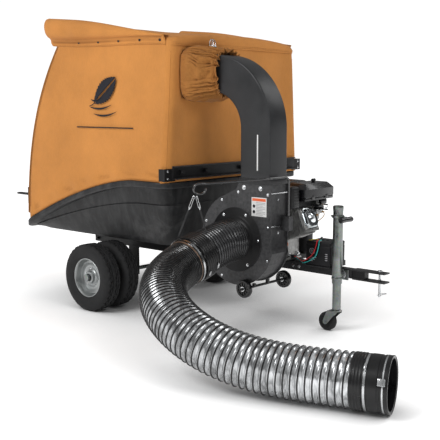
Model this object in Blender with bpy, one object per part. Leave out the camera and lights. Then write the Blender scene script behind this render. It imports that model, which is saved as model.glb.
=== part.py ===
"""Leaf vacuum mulcher trailer: canvas-topped tub, blower with suction hose, engine, jack and hitch."""
import math

import bmesh
import bpy
from mathutils import Matrix, Vector

# Driving dimensions, in metres. X runs forward to the hitch, Y to the left, Z up from the ground.
GAP = 0.0005            # clearance that neighbouring solids keep
TYRE_RADIUS = 0.203
TYRE_WIDTH = 0.115
TYRE_BEAD_RADIUS = 0.1185
WHEEL_STATIONS = {"outer": 0.623, "inner": 0.473}
WHEEL_STEPS = 20
AXLE_RADIUS = 0.0125

TONGUE_HALF = 0.025     # half of the 50 mm square tongue tube
TONGUE_Z = 0.321        # height of its centre line
TONGUE_WALL = 0.003
TONGUE_REAR, TONGUE_FRONT = -0.25, 1.45
RAIL_Y = 0.27
RAIL_SIZE = 0.040
RAIL_BOTTOM = TONGUE_Z + TONGUE_HALF + GAP
TUB_PIVOT = Vector((-0.33, 0.0, RAIL_BOTTOM + RAIL_SIZE / 2))
PIVOT_RADIUS = 0.009
LATCH = Vector((0.618, -0.110, TUB_PIVOT.z))
LATCH_PIN_RADIUS = 0.005

TUB_FLOOR_Z = 0.430
TUB_RIM_Y = 0.622
TUB_WALL = 0.008
RIM_DEPTH = 0.036
BODY_FRONT = 0.618      # front face of the tub rim and of the hood
HOOD_WALL = 0.007
HOOD_EAVE_Y = 0.560
HOOD_HEM_Y = 0.612
DOOR_GAP = 0.011        # the rear door hangs this far behind the hood's rear edge

BLOWER = Vector((0.93, 0.0, 0.50))
BLOWER_FACE_Y = -0.38
BLOWER_DEPTH = 0.150
BLOWER_RADIUS = 0.243
BLOWER_TOP = 0.812
PLATE = 0.004
SHAFT_RADIUS = 0.0127
RING_RADIUS = 0.178
HOSE_RADIUS = 0.119     # over the ribs of the 8 inch hose
HOSE_WALL = 0.012
COUPLING_Y = -0.745

CHUTE_X = (0.957, 1.160)
CHUTE_WALL = 0.004
CHUTE_BEND_X = 0.760
CHUTE_BEND_Z = 1.105

ENGINE_TILT = math.radians(23)
BASE_PLATE = 0.008
BATTERY_LOW = Vector((1.190, -0.088, RAIL_BOTTOM + 0.006 + GAP))
BATTERY_HIGH = Vector((1.350, 0.060, 0.486))

JACK = Vector((1.389, -0.0734, 0.315))
JACK_RADIUS = 0.0275
JACK_TOP = 0.688
CASTER_RADIUS = 0.052
CASTER_TRAIL = 0.055
CASTER_X = JACK.x - CASTER_TRAIL

STAND_WHEEL_RADIUS = 0.050
STAND_AXLE = Vector((1.007, 0.0, 0.238))
BOOM = Vector((1.197, -0.262, 0.0))
BOOM_RADIUS = 0.0055

BLACK = (0.018, 0.018, 0.020, 1)
STEEL = (0.62, 0.63, 0.65, 1)
RUBBER = (0.022, 0.022, 0.024, 1)
CANVAS = (0.46, 0.20, 0.045, 1)
POLY = (0.035, 0.036, 0.038, 1)

root = None


# ---------------------------------------------------------------- helpers

def clear_scene():
    for obj in list(bpy.data.objects):
        bpy.data.objects.remove(obj, do_unlink=True)


def material(name, colour, roughness=0.5, metallic=0.0):
    mat = bpy.data.materials.get(name) or bpy.data.materials.new(name)
    mat.use_nodes = True
    shader = mat.node_tree.nodes["Principled BSDF"]
    shader.inputs["Base Color"].default_value = colour
    shader.inputs["Roughness"].default_value = roughness
    shader.inputs["Metallic"].default_value = metallic
    return mat


def node(name, bm, mat, pivot=(0, 0, 0), smooth=True):
    """Turn a bmesh drawn in the machine's frame into an object whose origin is at pivot."""
    pivot = Vector(pivot)
    bmesh.ops.translate(bm, verts=bm.verts, vec=-pivot)
    bmesh.ops.recalc_face_normals(bm, faces=bm.faces)
    mesh = bpy.data.meshes.new(name)
    bm.to_mesh(mesh)
    bm.free()
    mesh.materials.append(mat)
    if smooth:
        mesh.shade_smooth()
        mesh.set_sharp_from_angle(angle=math.radians(35))
    obj = bpy.data.objects.new(name, mesh)
    bpy.context.collection.objects.link(obj)
    obj.parent = root
    obj.location = pivot
    return obj


def boolean(obj, bm, operation, name):
    """Union or difference with a hidden tool drawn in the machine's frame."""
    tool = node(name, bm, obj.data.materials[0], smooth=False)
    tool.hide_render = True
    tool.display_type = "WIRE"
    mod = obj.modifiers.new(operation.title(), "BOOLEAN")
    mod.operation = operation
    mod.solver = "EXACT"
    mod.use_self = operation == "UNION"
    mod.object = tool


def fuse(obj, bm):
    boolean(obj, bm, "UNION", obj.name + "_add")


def cut(obj, bm):
    boolean(obj, bm, "DIFFERENCE", obj.name + "_cut")


def box(bm, low, high, matrix=None):
    """Box between two corners, optionally moved by a matrix."""
    low, high = Vector(low), Vector(high)
    made = bmesh.ops.create_cube(bm, size=1.0)["verts"]
    bmesh.ops.scale(bm, verts=made, vec=high - low)
    bmesh.ops.translate(bm, verts=made, vec=(low + high) / 2)
    if matrix:
        bmesh.ops.transform(bm, verts=made, matrix=matrix)
    return bm


def rounded_box(bm, low, high, radius, matrix=None, segments=2):
    low, high = Vector(low), Vector(high)
    made = bmesh.ops.create_cube(bm, size=1.0)["verts"]
    bmesh.ops.scale(bm, verts=made, vec=high - low)
    bmesh.ops.translate(bm, verts=made, vec=(low + high) / 2)
    edges = list({e for v in made for e in v.link_edges})
    bevel = bmesh.ops.bevel(bm, geom=edges, offset=radius, segments=segments, affect="EDGES", profile=0.5)
    if matrix:
        bmesh.ops.transform(bm, verts=bevel["verts"], matrix=matrix)
    return bm


def rod(bm, start, end, radius, sides=12):
    """Cylinder between two points, with a vertex on its own lowest line."""
    start, end = Vector(start), Vector(end)
    axis = end - start
    turn = axis.to_track_quat("Z", "Y").to_matrix().to_4x4()
    place = Matrix.Translation((start + end) / 2) @ turn
    bmesh.ops.create_cone(bm, cap_ends=True, cap_tris=False, segments=sides, radius1=radius,
                          radius2=radius, depth=axis.length, matrix=place)
    return bm


def turned(bm, profile, centre, axis, steps=WHEEL_STEPS):
    """Closed ring: profile points (radius, offset along axis) turned about the axis through centre."""
    centre = Vector(centre)
    axis = Vector(axis).normalized()
    side = Vector((0, 0, -1)) if abs(axis.z) < 0.9 else Vector((1, 0, 0))
    verts = [bm.verts.new(centre + side * r + axis * a) for r, a in profile]
    edges = [bm.edges.new((verts[i], verts[(i + 1) % len(verts)])) for i in range(len(verts))]
    bmesh.ops.spin(bm, geom=verts + edges, cent=centre, axis=axis, dvec=(0, 0, 0),
                   angle=math.tau, steps=steps, use_merge=True)
    bmesh.ops.remove_doubles(bm, verts=bm.verts, dist=0.00001)
    return bm


def solid_of_revolution(bm, profile, centre, axis, steps=16):
    """Turned solid without a bore: profile points (radius, offset), from one end cap to the other."""
    centre = Vector(centre)
    axis = Vector(axis).normalized()
    side = Vector((0, 0, -1)) if abs(axis.z) < 0.9 else Vector((1, 0, 0))
    rings = []
    for r, a in profile:
        ring = []
        for k in range(steps):
            arm = Matrix.Rotation(math.tau * k / steps, 3, axis) @ side
            ring.append(bm.verts.new(centre + arm * r + axis * a))
        rings.append(ring)
    skin(bm, rings)
    return bm


def skin(bm, rings, caps=True, closed=False):
    """Quads between successive rings of equally many vertices."""
    count = len(rings[0])
    pairs = list(zip(rings, rings[1:]))
    if closed:
        pairs.append((rings[-1], rings[0]))
    for a, b in pairs:
        for k in range(count):
            n = (k + 1) % count
            bm.faces.new((a[k], a[n], b[n], b[k]))
    if caps and not closed:
        bm.faces.new(rings[0][::-1])
        bm.faces.new(rings[-1])


def ring_verts(bm, points):
    return [bm.verts.new(p) for p in points]


def prism(bm, outline, y_low, y_high):
    """Solid between two Y planes from an outline of (x, z) points."""
    rings = [ring_verts(bm, [(x, y, z) for x, z in outline]) for y in (y_low, y_high)]
    skin(bm, rings)
    return bm


def smooth_route(points, spacing):
    """Points of a Catmull-Rom curve through a hand-chosen route, about spacing apart."""
    pts = [Vector(p) for p in points]
    pts = [2 * pts[0] - pts[1]] + pts + [2 * pts[-1] - pts[-2]]
    out = []
    for a, b, c, d in zip(pts, pts[1:], pts[2:], pts[3:]):
        steps = max(1, round((c - b).length / spacing))
        for k in range(steps):
            t = k / steps
            out.append(0.5 * (2 * b + (c - a) * t + (2 * a - 5 * b + 4 * c - d) * t * t
                              + (3 * b - a - 3 * c + d) * t ** 3))
    out.append(pts[-2])
    return out


def sweep_rings(bm, path, radius, sides):
    """Rings square to a path, carried along it without twist."""
    rings = []
    tangent = (path[1] - path[0]).normalized()
    side = tangent.cross(Vector((0, 0, 1)))
    side = (side if side.length > 0.1 else Vector((1, 0, 0))).normalized()
    for i, p in enumerate(path):
        ahead = path[min(i + 1, len(path) - 1)] - path[max(i - 1, 0)]
        ahead.normalize()
        side = (side - ahead * side.dot(ahead)).normalized()
        up = side.cross(ahead)
        rings.append(ring_verts(bm, [p + radius * (side * math.cos(a) + up * math.sin(a))
                                     for a in (math.tau * (k + 0.5) / sides for k in range(sides))]))
    return rings


def swept_rod(bm, path, radius, sides=8):
    skin(bm, sweep_rings(bm, path, radius, sides))
    return bm


def swept_pipe(bm, path, outer, inner, sides=16):
    """Open-ended pipe along a path."""
    outside = sweep_rings(bm, path, outer, sides)
    inside = sweep_rings(bm, path, inner, sides)
    skin(bm, outside + inside[::-1], caps=False, closed=True)
    return bm


def square_pipe(bm, half, wall, x_low, x_high, y, z):
    rings = []
    for size, x in ((half, x_low), (half, x_high), (half - wall, x_high), (half - wall, x_low)):
        rings.append(ring_verts(bm, [(x, y + size * a, z + size * b)
                                     for a, b in ((-1, -1), (1, -1), (1, 1), (-1, 1))]))
    skin(bm, rings, caps=False, closed=True)
    return bm


def new():
    return bmesh.new()


# ---------------------------------------------------------------- running gear

def wheels():
    """Two wheels a side: a tyre on a pressed steel rim that turns on the dead axle."""
    half = TYRE_WIDTH / 2
    bead = TYRE_BEAD_RADIUS
    tyre = [(bead, -0.046), (0.155, -half), (0.192, -0.053), (TYRE_RADIUS, -0.036),
            (TYRE_RADIUS, 0.036), (0.192, 0.053), (0.155, half), (bead, 0.046)]
    seat = bead - GAP
    rim = [(0.0134, -0.030), (0.040, -0.030), (0.048, -0.010), (0.100, -0.010), (0.106, -0.044),
           (seat, -0.044), (seat, 0.044), (0.106, 0.044), (0.100, 0.004), (0.048, 0.004),
           (0.040, 0.030), (0.0134, 0.030)]
    rubber = material("tyre_rubber", RUBBER, 0.85)
    zinc = material("zinc_steel", STEEL, 0.35, 1.0)
    for side, sign in (("right", -1), ("left", 1)):
        for row, y in WHEEL_STATIONS.items():
            centre = (0, sign * y, TYRE_RADIUS)
            outward = (0, sign, 0)
            node(f"tyre_{row}_{side}", turned(new(), tyre, centre, outward), rubber, centre)
            node(f"rim_{row}_{side}", turned(new(), rim, centre, outward), zinc, centre)


def axle():
    """Dead axle with collars that keep the four wheels apart."""
    collar, nut = 0.0185, 0.021
    stops = [(0.438, nut), (0.508, collar), (0.588, collar), (0.658, nut)]
    half = [(AXLE_RADIUS, 0.418), (nut, 0.418), (nut, stops[0][0]), (AXLE_RADIUS, stops[0][0]),
            (AXLE_RADIUS, stops[1][0]), (collar, stops[1][0]), (collar, stops[2][0]),
            (AXLE_RADIUS, stops[2][0]), (AXLE_RADIUS, stops[3][0]), (nut, stops[3][0]), (nut, 0.674)]
    profile = [(r, -y) for r, y in half[::-1]] + half
    bm = solid_of_revolution(new(), profile, (0, 0, TYRE_RADIUS), (0, 1, 0), 12)
    node("axle", bm, material("zinc_steel", STEEL, 0.35, 1.0))


def chassis():
    """Tongue tube, with the ladder frame on top of it that carries the axle and the tub pivot."""
    steel = material("black_paint", BLACK, 0.4, 0.3)
    node("tongue", square_pipe(new(), TONGUE_HALF, TONGUE_WALL, TONGUE_REAR, TONGUE_FRONT, 0, TONGUE_Z), steel)
    low, high, half = RAIL_BOTTOM, RAIL_BOTTOM + RAIL_SIZE, RAIL_SIZE / 2
    rear, front = TUB_PIVOT.x - 0.030, 0.600
    frame = node("chassis_frame", box(new(), (rear, -RAIL_Y - half, low), (front, half - RAIL_Y, high)), steel)
    extra = box(new(), (rear, RAIL_Y - half, low), (front, RAIL_Y + half, high))
    for x in (-0.20, 0.20, 0.565):
        box(extra, (x - half, -RAIL_Y, low + 0.001), (x + half, RAIL_Y, high - 0.001))
    for sign in (-1, 1):
        y = sign * (RAIL_Y + 0.010)
        box(extra, (-0.045, y - 0.004, TYRE_RADIUS - 0.030), (0.045, y + 0.004, high - 0.010))
    rod(extra, TUB_PIVOT - Vector((0, 0.305, 0)), TUB_PIVOT + Vector((0, 0.305, 0)), PIVOT_RADIUS, 12)
    box(extra, (0.584, LATCH.y + 0.012, low + 0.002), (LATCH.x + 0.012, LATCH.y + 0.018, LATCH.z + 0.014))
    rod(extra, LATCH - Vector((0, 0.020, 0)), LATCH + Vector((0, 0.015, 0)), LATCH_PIN_RADIUS, 10)
    fuse(frame, extra)
    cut(frame, rod(new(), (0, -0.4, TYRE_RADIUS), (0, 0.4, TYRE_RADIUS), AXLE_RADIUS + 0.0012, 12))


def hitch():
    """Clevis hitch telescoped into the tongue, with its pin and clip."""
    steel = material("black_paint", BLACK, 0.4, 0.3)
    zinc = material("zinc_steel", STEEL, 0.35, 1.0)
    half = TONGUE_HALF - TONGUE_WALL - GAP
    pin_x, tip = 1.612, 1.655
    clevis = node("hitch_clevis", box(new(), (1.30, -half, TONGUE_Z - half), (1.53, half, TONGUE_Z + half)), steel)
    plates = new()
    for z in (TONGUE_Z + half + 0.003, TONGUE_Z - half - 0.003):
        box(plates, (1.455, -0.028, z - 0.004), (tip, 0.028, z + 0.004))
    fuse(clevis, plates)
    cut(clevis, rod(new(), (pin_x, 0, 0.2), (pin_x, 0, 0.45), 0.0090, 12))
    head_z = TONGUE_Z + half + 0.007 + GAP
    profile = [(0.0075, 0.214 - head_z), (0.0075, 0.0), (0.0130, 0.0), (0.0130, 0.008), (0.006, 0.013)]
    pin = node("hitch_pin", solid_of_revolution(new(), profile, (pin_x, 0, head_z), (0, 0, 1), 12), zinc,
               (pin_x, 0, head_z))
    clip_z = 0.228
    route = [Vector((pin_x, -0.026, clip_z)), Vector((pin_x, 0.0, clip_z)), Vector((pin_x, 0.030, clip_z)),
             Vector((pin_x + 0.006, 0.042, clip_z)), Vector((pin_x + 0.016, 0.042, clip_z)),
             Vector((pin_x + 0.020, 0.032, clip_z)), Vector((pin_x + 0.014, 0.010, clip_z)),
             Vector((pin_x + 0.016, -0.020, clip_z))]
    fuse(pin, swept_rod(new(), route, 0.0018, 6))


def jack():
    """Swivel jack: bracket, outer tube, crank, telescoping leg and trailing caster."""
    zinc = material("zinc_steel", STEEL, 0.35, 1.0)
    x, y, z = JACK
    side = -TONGUE_HALF - GAP
    bracket = node("jack_bracket", rounded_box(new(), (x - 0.045, side - 0.007, z - 0.030),
                                               (x + 0.045, side, z + 0.028), 0.002, segments=1), zinc)
    fuse(bracket, rod(new(), (x, side - 0.001, z), (x, side - 0.0120, z), 0.022, 16))
    hub_y = side - 0.0120 - GAP
    inner = JACK_RADIUS - 0.003
    tube = node("jack_tube", turned(new(), [(inner, 0.27 - z), (JACK_RADIUS, 0.27 - z), (JACK_RADIUS, JACK_TOP - z),
                                            (inner, JACK_TOP - z)], JACK, (0, 0, 1), 16), zinc, JACK)
    fuse(tube, rod(new(), (x, hub_y, z), (x, y + inner + 0.001, z), 0.021, 16))
    cap = [(JACK_RADIUS + 0.0015, JACK_TOP - 0.004), (JACK_RADIUS + 0.0015, JACK_TOP + 0.004),
           (JACK_RADIUS - 0.002, JACK_TOP + 0.007)]
    boolean(tube, solid_of_revolution(new(), cap, (x, y, 0), (0, 0, 1), 16), "UNION", "jack_cap_add")

    crank_z = 0.637
    ring = [(JACK_RADIUS + 0.0008, -0.007), (JACK_RADIUS + 0.007, -0.007), (JACK_RADIUS + 0.007, 0.006),
            (JACK_RADIUS + 0.0008, 0.006)]
    crank = node("jack_crank", turned(new(), ring, (x, y, crank_z), (0, 0, 1), 16), zinc, (x, y, crank_z))
    grip_x = x + 0.050
    fuse(crank, box(new(), (x + 0.031, y - 0.008, crank_z - 0.006), (grip_x + 0.006, y + 0.008, crank_z + 0.002)))
    grip = [(0.009, -0.058), (0.0115, -0.054), (0.0115, 0.046), (0.009, 0.050)]
    handle = solid_of_revolution(new(), grip, (grip_x, y + 0.004, crank_z - 0.015), (0, 1, 0), 10)
    boolean(crank, handle, "UNION", "jack_grip_add")

    leg = [(0.0180, 0.126 - z), (inner - 0.0008, 0.126 - z), (inner - 0.0008, 0.50 - z), (0.0180, 0.50 - z)]
    node("jack_leg", turned(new(), leg, JACK, (0, 0, 1), 16), zinc, JACK)

    wheel_z = CASTER_RADIUS + 0.0005
    fork = node("caster_fork", rounded_box(new(), (x - 0.045, y - 0.029, 0.1135), (x + 0.028, y + 0.029, 0.1255),
                                           0.002, segments=1), zinc, (x, y, 0.12))
    arms = new()
    for sign in (-1, 1):
        a, b = sorted((y + sign * 0.0285, y + sign * 0.0245))
        prism(arms, [(x + 0.020, 0.117), (x - 0.040, 0.117), (CASTER_X - 0.014, wheel_z - 0.004),
                     (CASTER_X - 0.006, wheel_z - 0.014), (CASTER_X + 0.010, wheel_z - 0.012)], a, b)
    fuse(fork, arms)
    fuse_axle = rod(new(), (CASTER_X, y - 0.032, wheel_z), (CASTER_X, y + 0.032, wheel_z), 0.0055, 8)
    boolean(fork, fuse_axle, "UNION", "caster_axle_add")
    wheel = [(0.0064, -0.020), (0.018, -0.020), (0.020, -0.017), (0.045, -0.017), (CASTER_RADIUS, -0.012),
             (CASTER_RADIUS, 0.012), (0.045, 0.017), (0.020, 0.017), (0.018, 0.020), (0.0064, 0.020)]
    centre = (CASTER_X, y, wheel_z)
    node("caster_wheel", turned(new(), wheel, centre, (0, 1, 0), 16), material("tyre_rubber", RUBBER, 0.85), centre)


# ---------------------------------------------------------------- tub and hood

def rim_height(x):
    """Height of the tub's rim: level in front, falling in a curve to the low rear lip."""
    t = max(0.0, (0.36 - x) / 0.98)
    return 0.806 - 0.300 * t ** 1.55


def loop_at(x_rear, x_front, half_y, corner, heights, steps_x=8):
    """Rounded rectangle in plan whose height at each x is heights(x), counter-clockwise from the rear."""
    pts = []
    xs = [x_rear + corner + (x_front - x_rear - 2 * corner) * k / steps_x for k in range(steps_x + 1)]
    for x in xs:
        pts.append((x, -half_y))
    for k in (1, 2):
        a = math.radians(30 * k)
        pts.append((x_front - corner + corner * math.sin(a), -half_y + corner * (1 - math.cos(a))))
    pts.append((x_front, -half_y + corner))
    pts += [(x, -y) for x, y in pts[::-1]]
    first = [(x_rear, half_y - corner), (x_rear, -half_y + corner)]
    pts += first
    return [Vector((x, y, heights(x))) for x, y in pts]


def tub():
    """Moulded poly tub with a rolled rim, its steel subframe and the front latch."""
    def floor(x):
        return TUB_FLOOR_Z

    def inner_floor(x):
        return TUB_FLOOR_Z + TUB_WALL

    def under_rim(x):
        return rim_height(x) - RIM_DEPTH

    def belly(x):
        return TUB_FLOOR_Z + 0.55 * (rim_height(x) - TUB_FLOOR_Z - RIM_DEPTH)

    rear, front, y, wall = -0.685, BODY_FRONT, TUB_RIM_Y, TUB_WALL
    loops = [
        loop_at(rear + 0.045, front - 0.075, y - 0.130, 0.07, floor),
        loop_at(rear + 0.012, front - 0.040, y - 0.075, 0.08, belly),
        loop_at(rear + 0.010, front - 0.022, y - 0.042, 0.08, under_rim),
        loop_at(rear, front, y, 0.08, under_rim),
        loop_at(rear, front, y, 0.08, rim_height),
        loop_at(rear + 0.035, front - 0.052, y - 0.058, 0.07, rim_height),
        loop_at(rear + 0.036, front - 0.054, y - 0.060, 0.07, under_rim),
        loop_at(rear + 0.030, front - 0.054, y - 0.078 - wall, 0.07, belly),
        loop_at(rear + 0.062, front - 0.090, y - 0.136 - wall, 0.07, inner_floor),
    ]
    bm = new()
    skin(bm, [ring_verts(bm, pts) for pts in loops])
    node("tub", bm, material("tub_poly", POLY, 0.55), TUB_PIVOT)

    low, high = RAIL_BOTTOM + RAIL_SIZE + 0.001, TUB_FLOOR_Z - GAP
    steel = material("black_paint", BLACK, 0.4, 0.3)
    frame = node("tub_subframe", box(new(), (-0.36, -0.225, low), (0.50, -0.195, high)), steel, TUB_PIVOT)
    extra = box(new(), (-0.36, 0.195, low), (0.50, 0.225, high))
    for x in (-0.27, 0.46):
        box(extra, (x - 0.015, -0.21, low + 0.001), (x + 0.015, 0.21, high - 0.001))
    box(extra, (0.470, -0.120, low + 0.002), (0.596, -0.100, low + 0.014))
    for sign in (-1, 1):
        box(extra, (TUB_PIVOT.x - 0.018, sign * 0.21 - 0.005, TUB_PIVOT.z - 0.018),
            (TUB_PIVOT.x + 0.018, sign * 0.21 + 0.005, low + 0.01))
    fuse(frame, extra)
    cut(frame, rod(new(), TUB_PIVOT - Vector((0, 0.25, 0)), TUB_PIVOT + Vector((0, 0.25, 0)),
                   PIVOT_RADIUS + 0.0010, 12))

    top = low + 0.020
    latch = node("dump_latch", box(new(), (LATCH.x - 0.016, LATCH.y - 0.008, LATCH.z - 0.014),
                                   (LATCH.x + 0.016, LATCH.y + 0.008, top + 0.016)), steel, LATCH)
    hook = box(new(), (LATCH.x - 0.020, LATCH.y - 0.007, top), (LATCH.x - 0.008, LATCH.y + 0.007, top + 0.015))
    rod(hook, LATCH + Vector((0.007, 0, 0)), LATCH + Vector((0.082, 0, -0.020)), 0.006, 8)
    fuse(latch, hook)
    cut(latch, rod(new(), LATCH - Vector((0, 0.03, 0)), LATCH + Vector((0, 0.03, 0)), LATCH_PIN_RADIUS + 0.001, 10))


def rear_edge_x(z):
    """Side view of the hood's rear edge: upright near the tub, raked forward towards the roof."""
    t = max(0.0, (z - 0.55) / 1.13)
    return -0.622 + 0.350 * t ** 2.6


def eave_z(x):
    """Height of the roof's side edge, rising to the rear."""
    return 1.600 + 0.104 * ((BODY_FRONT - x) / 0.98) ** 0.85


def hood_surface(inset, bottom):
    """Front, roof and side panels of the hood as a grid, moved inwards by inset."""
    columns, levels, across = 6, 5, 4
    front_x = BODY_FRONT - inset

    def hem(x):
        return rim_height(x) + bottom

    def eave(x):
        return eave_z(x) - inset

    low_rear, top_rear = hem(rear_edge_x(0.5)), eave(rear_edge_x(1.68))
    low_front, top_front = hem(front_x), eave(front_x)
    xs, zs = [], []
    for i in range(columns + 1):
        u = i / columns
        line_x, line_z = [], []
        for j in range(levels + 1):
            t = j / levels
            z_rear = low_rear + (top_rear - low_rear) * t
            z_front = low_front + (top_front - low_front) * t
            x = rear_edge_x(z_rear) * (1 - u) + front_x * u
            along_hem = hem(x) - low_rear * (1 - u) - low_front * u if 0 < i < columns else 0.0
            along_eave = eave(x) - top_rear * (1 - u) - top_front * u if 0 < i < columns else 0.0
            line_x.append(x)
            line_z.append(z_rear * (1 - u) + z_front * u + along_hem * (1 - t) + along_eave * t)
        xs.append(line_x)
        zs.append(line_z)
    return columns, levels, across, xs, zs


def hood_canvas():
    """Canvas hood: a shell with an open underside, an open rear and a square hole for the inlet sleeve."""
    bm = new()
    skins = []
    for inset in (0.0, HOOD_WALL):
        columns, levels, across, xs, zs = hood_surface(inset, 0.004)
        side = {}
        for sign in (-1, 1):
            for i in range(columns + 1):
                for j in range(levels + 1):
                    y = HOOD_HEM_Y + (HOOD_EAVE_Y - HOOD_HEM_Y) * j / levels - inset
                    side[sign, i, j] = bm.verts.new((xs[i][j], sign * y, zs[i][j]))
        roof, front = {}, {}
        for i in range(columns + 1):
            for k in range(1, across):
                s = 2 * k / across - 1
                crown = 0.025 * (1 - s * s)
                roof[i, k] = bm.verts.new((xs[i][levels], s * (HOOD_EAVE_Y - inset), zs[i][levels] + crown))
            roof[i, 0], roof[i, across] = side[-1, i, levels], side[1, i, levels]
        for j in range(levels + 1):
            y = HOOD_HEM_Y + (HOOD_EAVE_Y - HOOD_HEM_Y) * j / levels - inset
            for k in range(1, across):
                at = bm.verts.new((xs[columns][j], y * (2 * k / across - 1), zs[columns][j])) if j < levels else None
                front[k, j] = at or roof[columns, k]
            front[0, j], front[across, j] = side[-1, columns, j], side[1, columns, j]
        skins.append((side, roof, front))
    for n, (side, roof, front) in enumerate(skins):
        for i in range(columns):
            for j in range(levels):
                for sign in (-1, 1):
                    bm.faces.new((side[sign, i, j], side[sign, i + 1, j], side[sign, i + 1, j + 1],
                                  side[sign, i, j + 1]))
            for k in range(across):
                bm.faces.new((roof[i, k], roof[i + 1, k], roof[i + 1, k + 1], roof[i, k + 1]))
        for j in range(levels):
            for k in range(across):
                bm.faces.new((front[k, j], front[k + 1, j], front[k + 1, j + 1], front[k, j + 1]))
    rims = []
    for side, roof, front in skins:
        rim = [side[-1, i, 0] for i in range(columns + 1)]
        rim += [front[k, 0] for k in range(1, across)]
        rim += [side[1, i, 0] for i in range(columns, -1, -1)]
        rim += [side[1, 0, j] for j in range(1, levels + 1)]
        rim += [roof[0, k] for k in range(across - 1, 0, -1)]
        rim += [side[-1, 0, j] for j in range(levels, 0, -1)]
        rims.append(rim)
    skin(bm, rims, caps=False)
    hood = node("hood_canvas", bm, material("canvas", CANVAS, 0.9), TUB_PIVOT, smooth=False)
    cut(hood, box(new(), (BODY_FRONT - 0.05, -0.468, 1.270), (BODY_FRONT + 0.05, -0.160, 1.530)))


def hood_frame():
    """Welded tube frame that holds the hood up."""
    r = 0.011
    y = HOOD_EAVE_Y - HOOD_WALL - 0.021
    front_x = BODY_FRONT - 0.028
    front_top = eave_z(front_x) - 0.030
    rear_top_z = eave_z(-0.25) - 0.034
    rear_top_x = rear_edge_x(rear_top_z) + 0.030
    foot_z = rim_height(-0.40) + 0.010
    foot_x = rear_edge_x(foot_z) + 0.035
    mid_z = 1.15
    mid_x = rear_edge_x(mid_z) + 0.034
    frame = node("hood_frame", rod(new(), (front_x, -y - r, front_top), (front_x, y + r, front_top), r, 8),
                 material("black_paint", BLACK, 0.4, 0.3), TUB_PIVOT)
    tubes = new()
    for s in (-1, 1):
        rod(tubes, (front_x, s * (y + 0.030), rim_height(0.6) + 0.008), (front_x, s * y, front_top + 0.002), r, 8)
        rod(tubes, (front_x - 0.002, s * y, front_top), (rear_top_x, s * y, rear_top_z), r, 8)
        rod(tubes, (rear_top_x, s * y, rear_top_z + 0.003), (mid_x, s * (y + 0.012), mid_z), r, 8)
        rod(tubes, (mid_x, s * (y + 0.012), mid_z + 0.004), (foot_x, s * (y + 0.026), foot_z), r, 8)
    rod(tubes, (rear_top_x, -y, rear_top_z), (rear_top_x, y, rear_top_z), r, 8)
    fuse(frame, tubes)


def rear_door():
    """Canvas-covered rear door, hinged along the roof's rear edge, with two lift handles."""
    zs = [0.560 + 1.120 * k / 6 for k in range(7)]
    bm = new()
    thick = 0.010
    rings = []
    for z in zs:
        x = rear_edge_x(z) - DOOR_GAP
        half = HOOD_HEM_Y + (HOOD_EAVE_Y - HOOD_HEM_Y) * max(0, z - 0.55) / 1.13 - 0.004
        rings.append(ring_verts(bm, [(x - thick, -half, z), (x, -half, z), (x, half, z), (x - thick, half, z)]))
    skin(bm, rings)
    top = Vector((rear_edge_x(zs[-1]) - DOOR_GAP - thick / 2, 0, zs[-1]))
    node("rear_door", bm, material("canvas", CANVAS, 0.9), top, smooth=False)
    steel = material("black_paint", BLACK, 0.4, 0.3)
    x = rear_edge_x(0.60) - DOOR_GAP - thick - GAP
    bar = node("door_bar", box(new(), (x - 0.0155, -0.58, 0.600), (x - 0.0105, 0.58, 0.622)), steel, top)
    loops = new()
    for sign in (-1, 1):
        y = sign * 0.575
        box(loops, (x - 0.016, y - 0.022, 0.596), (x - 0.010, y + 0.022, 0.702))
        route = [Vector((x - 0.013, y - 0.017, 0.655))]
        for k in range(7):
            angle = math.pi * k / 6
            route.append(Vector((x - 0.125 - 0.024 * math.sin(angle), y - 0.017 * math.cos(angle), 0.655)))
        route.append(Vector((x - 0.013, y + 0.017, 0.655)))
        swept_rod(loops, route, 0.0055, 6)
    fuse(bar, loops)


def hood_hardware():
    """Steel angle along the hood's front hem, with a bracket round each corner."""
    steel = material("black_paint", BLACK, 0.4, 0.3)
    x = BODY_FRONT + GAP
    rail = node("front_rail", box(new(), (x, -0.560, 0.822), (x + 0.006, 0.560, 0.896)), steel, TUB_PIVOT)
    lips = box(new(), (x + 0.002, -0.559, 0.823), (x + 0.034, 0.559, 0.829))
    box(lips, (x + 0.002, -0.559, 0.889), (x + 0.018, 0.559, 0.895))
    for y in (-0.50, -0.30, 0.02, 0.24, 0.43):
        rod(lips, (x + 0.001, y, 0.860), (x + 0.022, y, 0.860), 0.012, 8)
    for sign in (-1, 1):
        a, b = sorted((sign * 0.540, sign * 0.6265))
        box(lips, (x + 0.001, a, 0.813), (x + 0.005, b, 0.883))
        a, b = sorted((sign * 0.6205, sign * 0.6260))
        box(lips, (x - 0.040, a, 0.814), (x + 0.004, b, 0.882))
    fuse(rail, lips)


def inlet_sleeve():
    """Gathered canvas tunnel between the hood's front and the chute's mouth."""
    stations = [(BODY_FRONT + 0.004, -0.315, 1.400, 0.175, 0.146), (0.66, -0.314, 1.402, 0.190, 0.152),
                (0.72, -0.310, 1.404, 0.168, 0.142), (0.775, -0.308, 1.404, 0.122, 0.136),
                (0.800, -0.3055, 1.4025, 0.102, 0.127)]
    bm = new()
    rings = []
    for inset in (0.0, 0.006):
        layer = []
        for x, y, z, a, b in stations:
            pts = []
            for k in range(16):
                t = math.tau * (k + 0.5) / 16
                c, s = math.cos(t), math.sin(t)
                power = 0.35
                pts.append((x, y + (a - inset) * math.copysign(abs(c) ** power, c),
                            z + (b - inset) * math.copysign(abs(s) ** power, s)))
            layer.append(ring_verts(bm, pts))
        rings.append(layer)
    skin(bm, rings[0] + rings[1][::-1], caps=False, closed=True)
    node("inlet_sleeve", bm, material("canvas", CANVAS, 0.9), TUB_PIVOT)


# ---------------------------------------------------------------- blower

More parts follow.
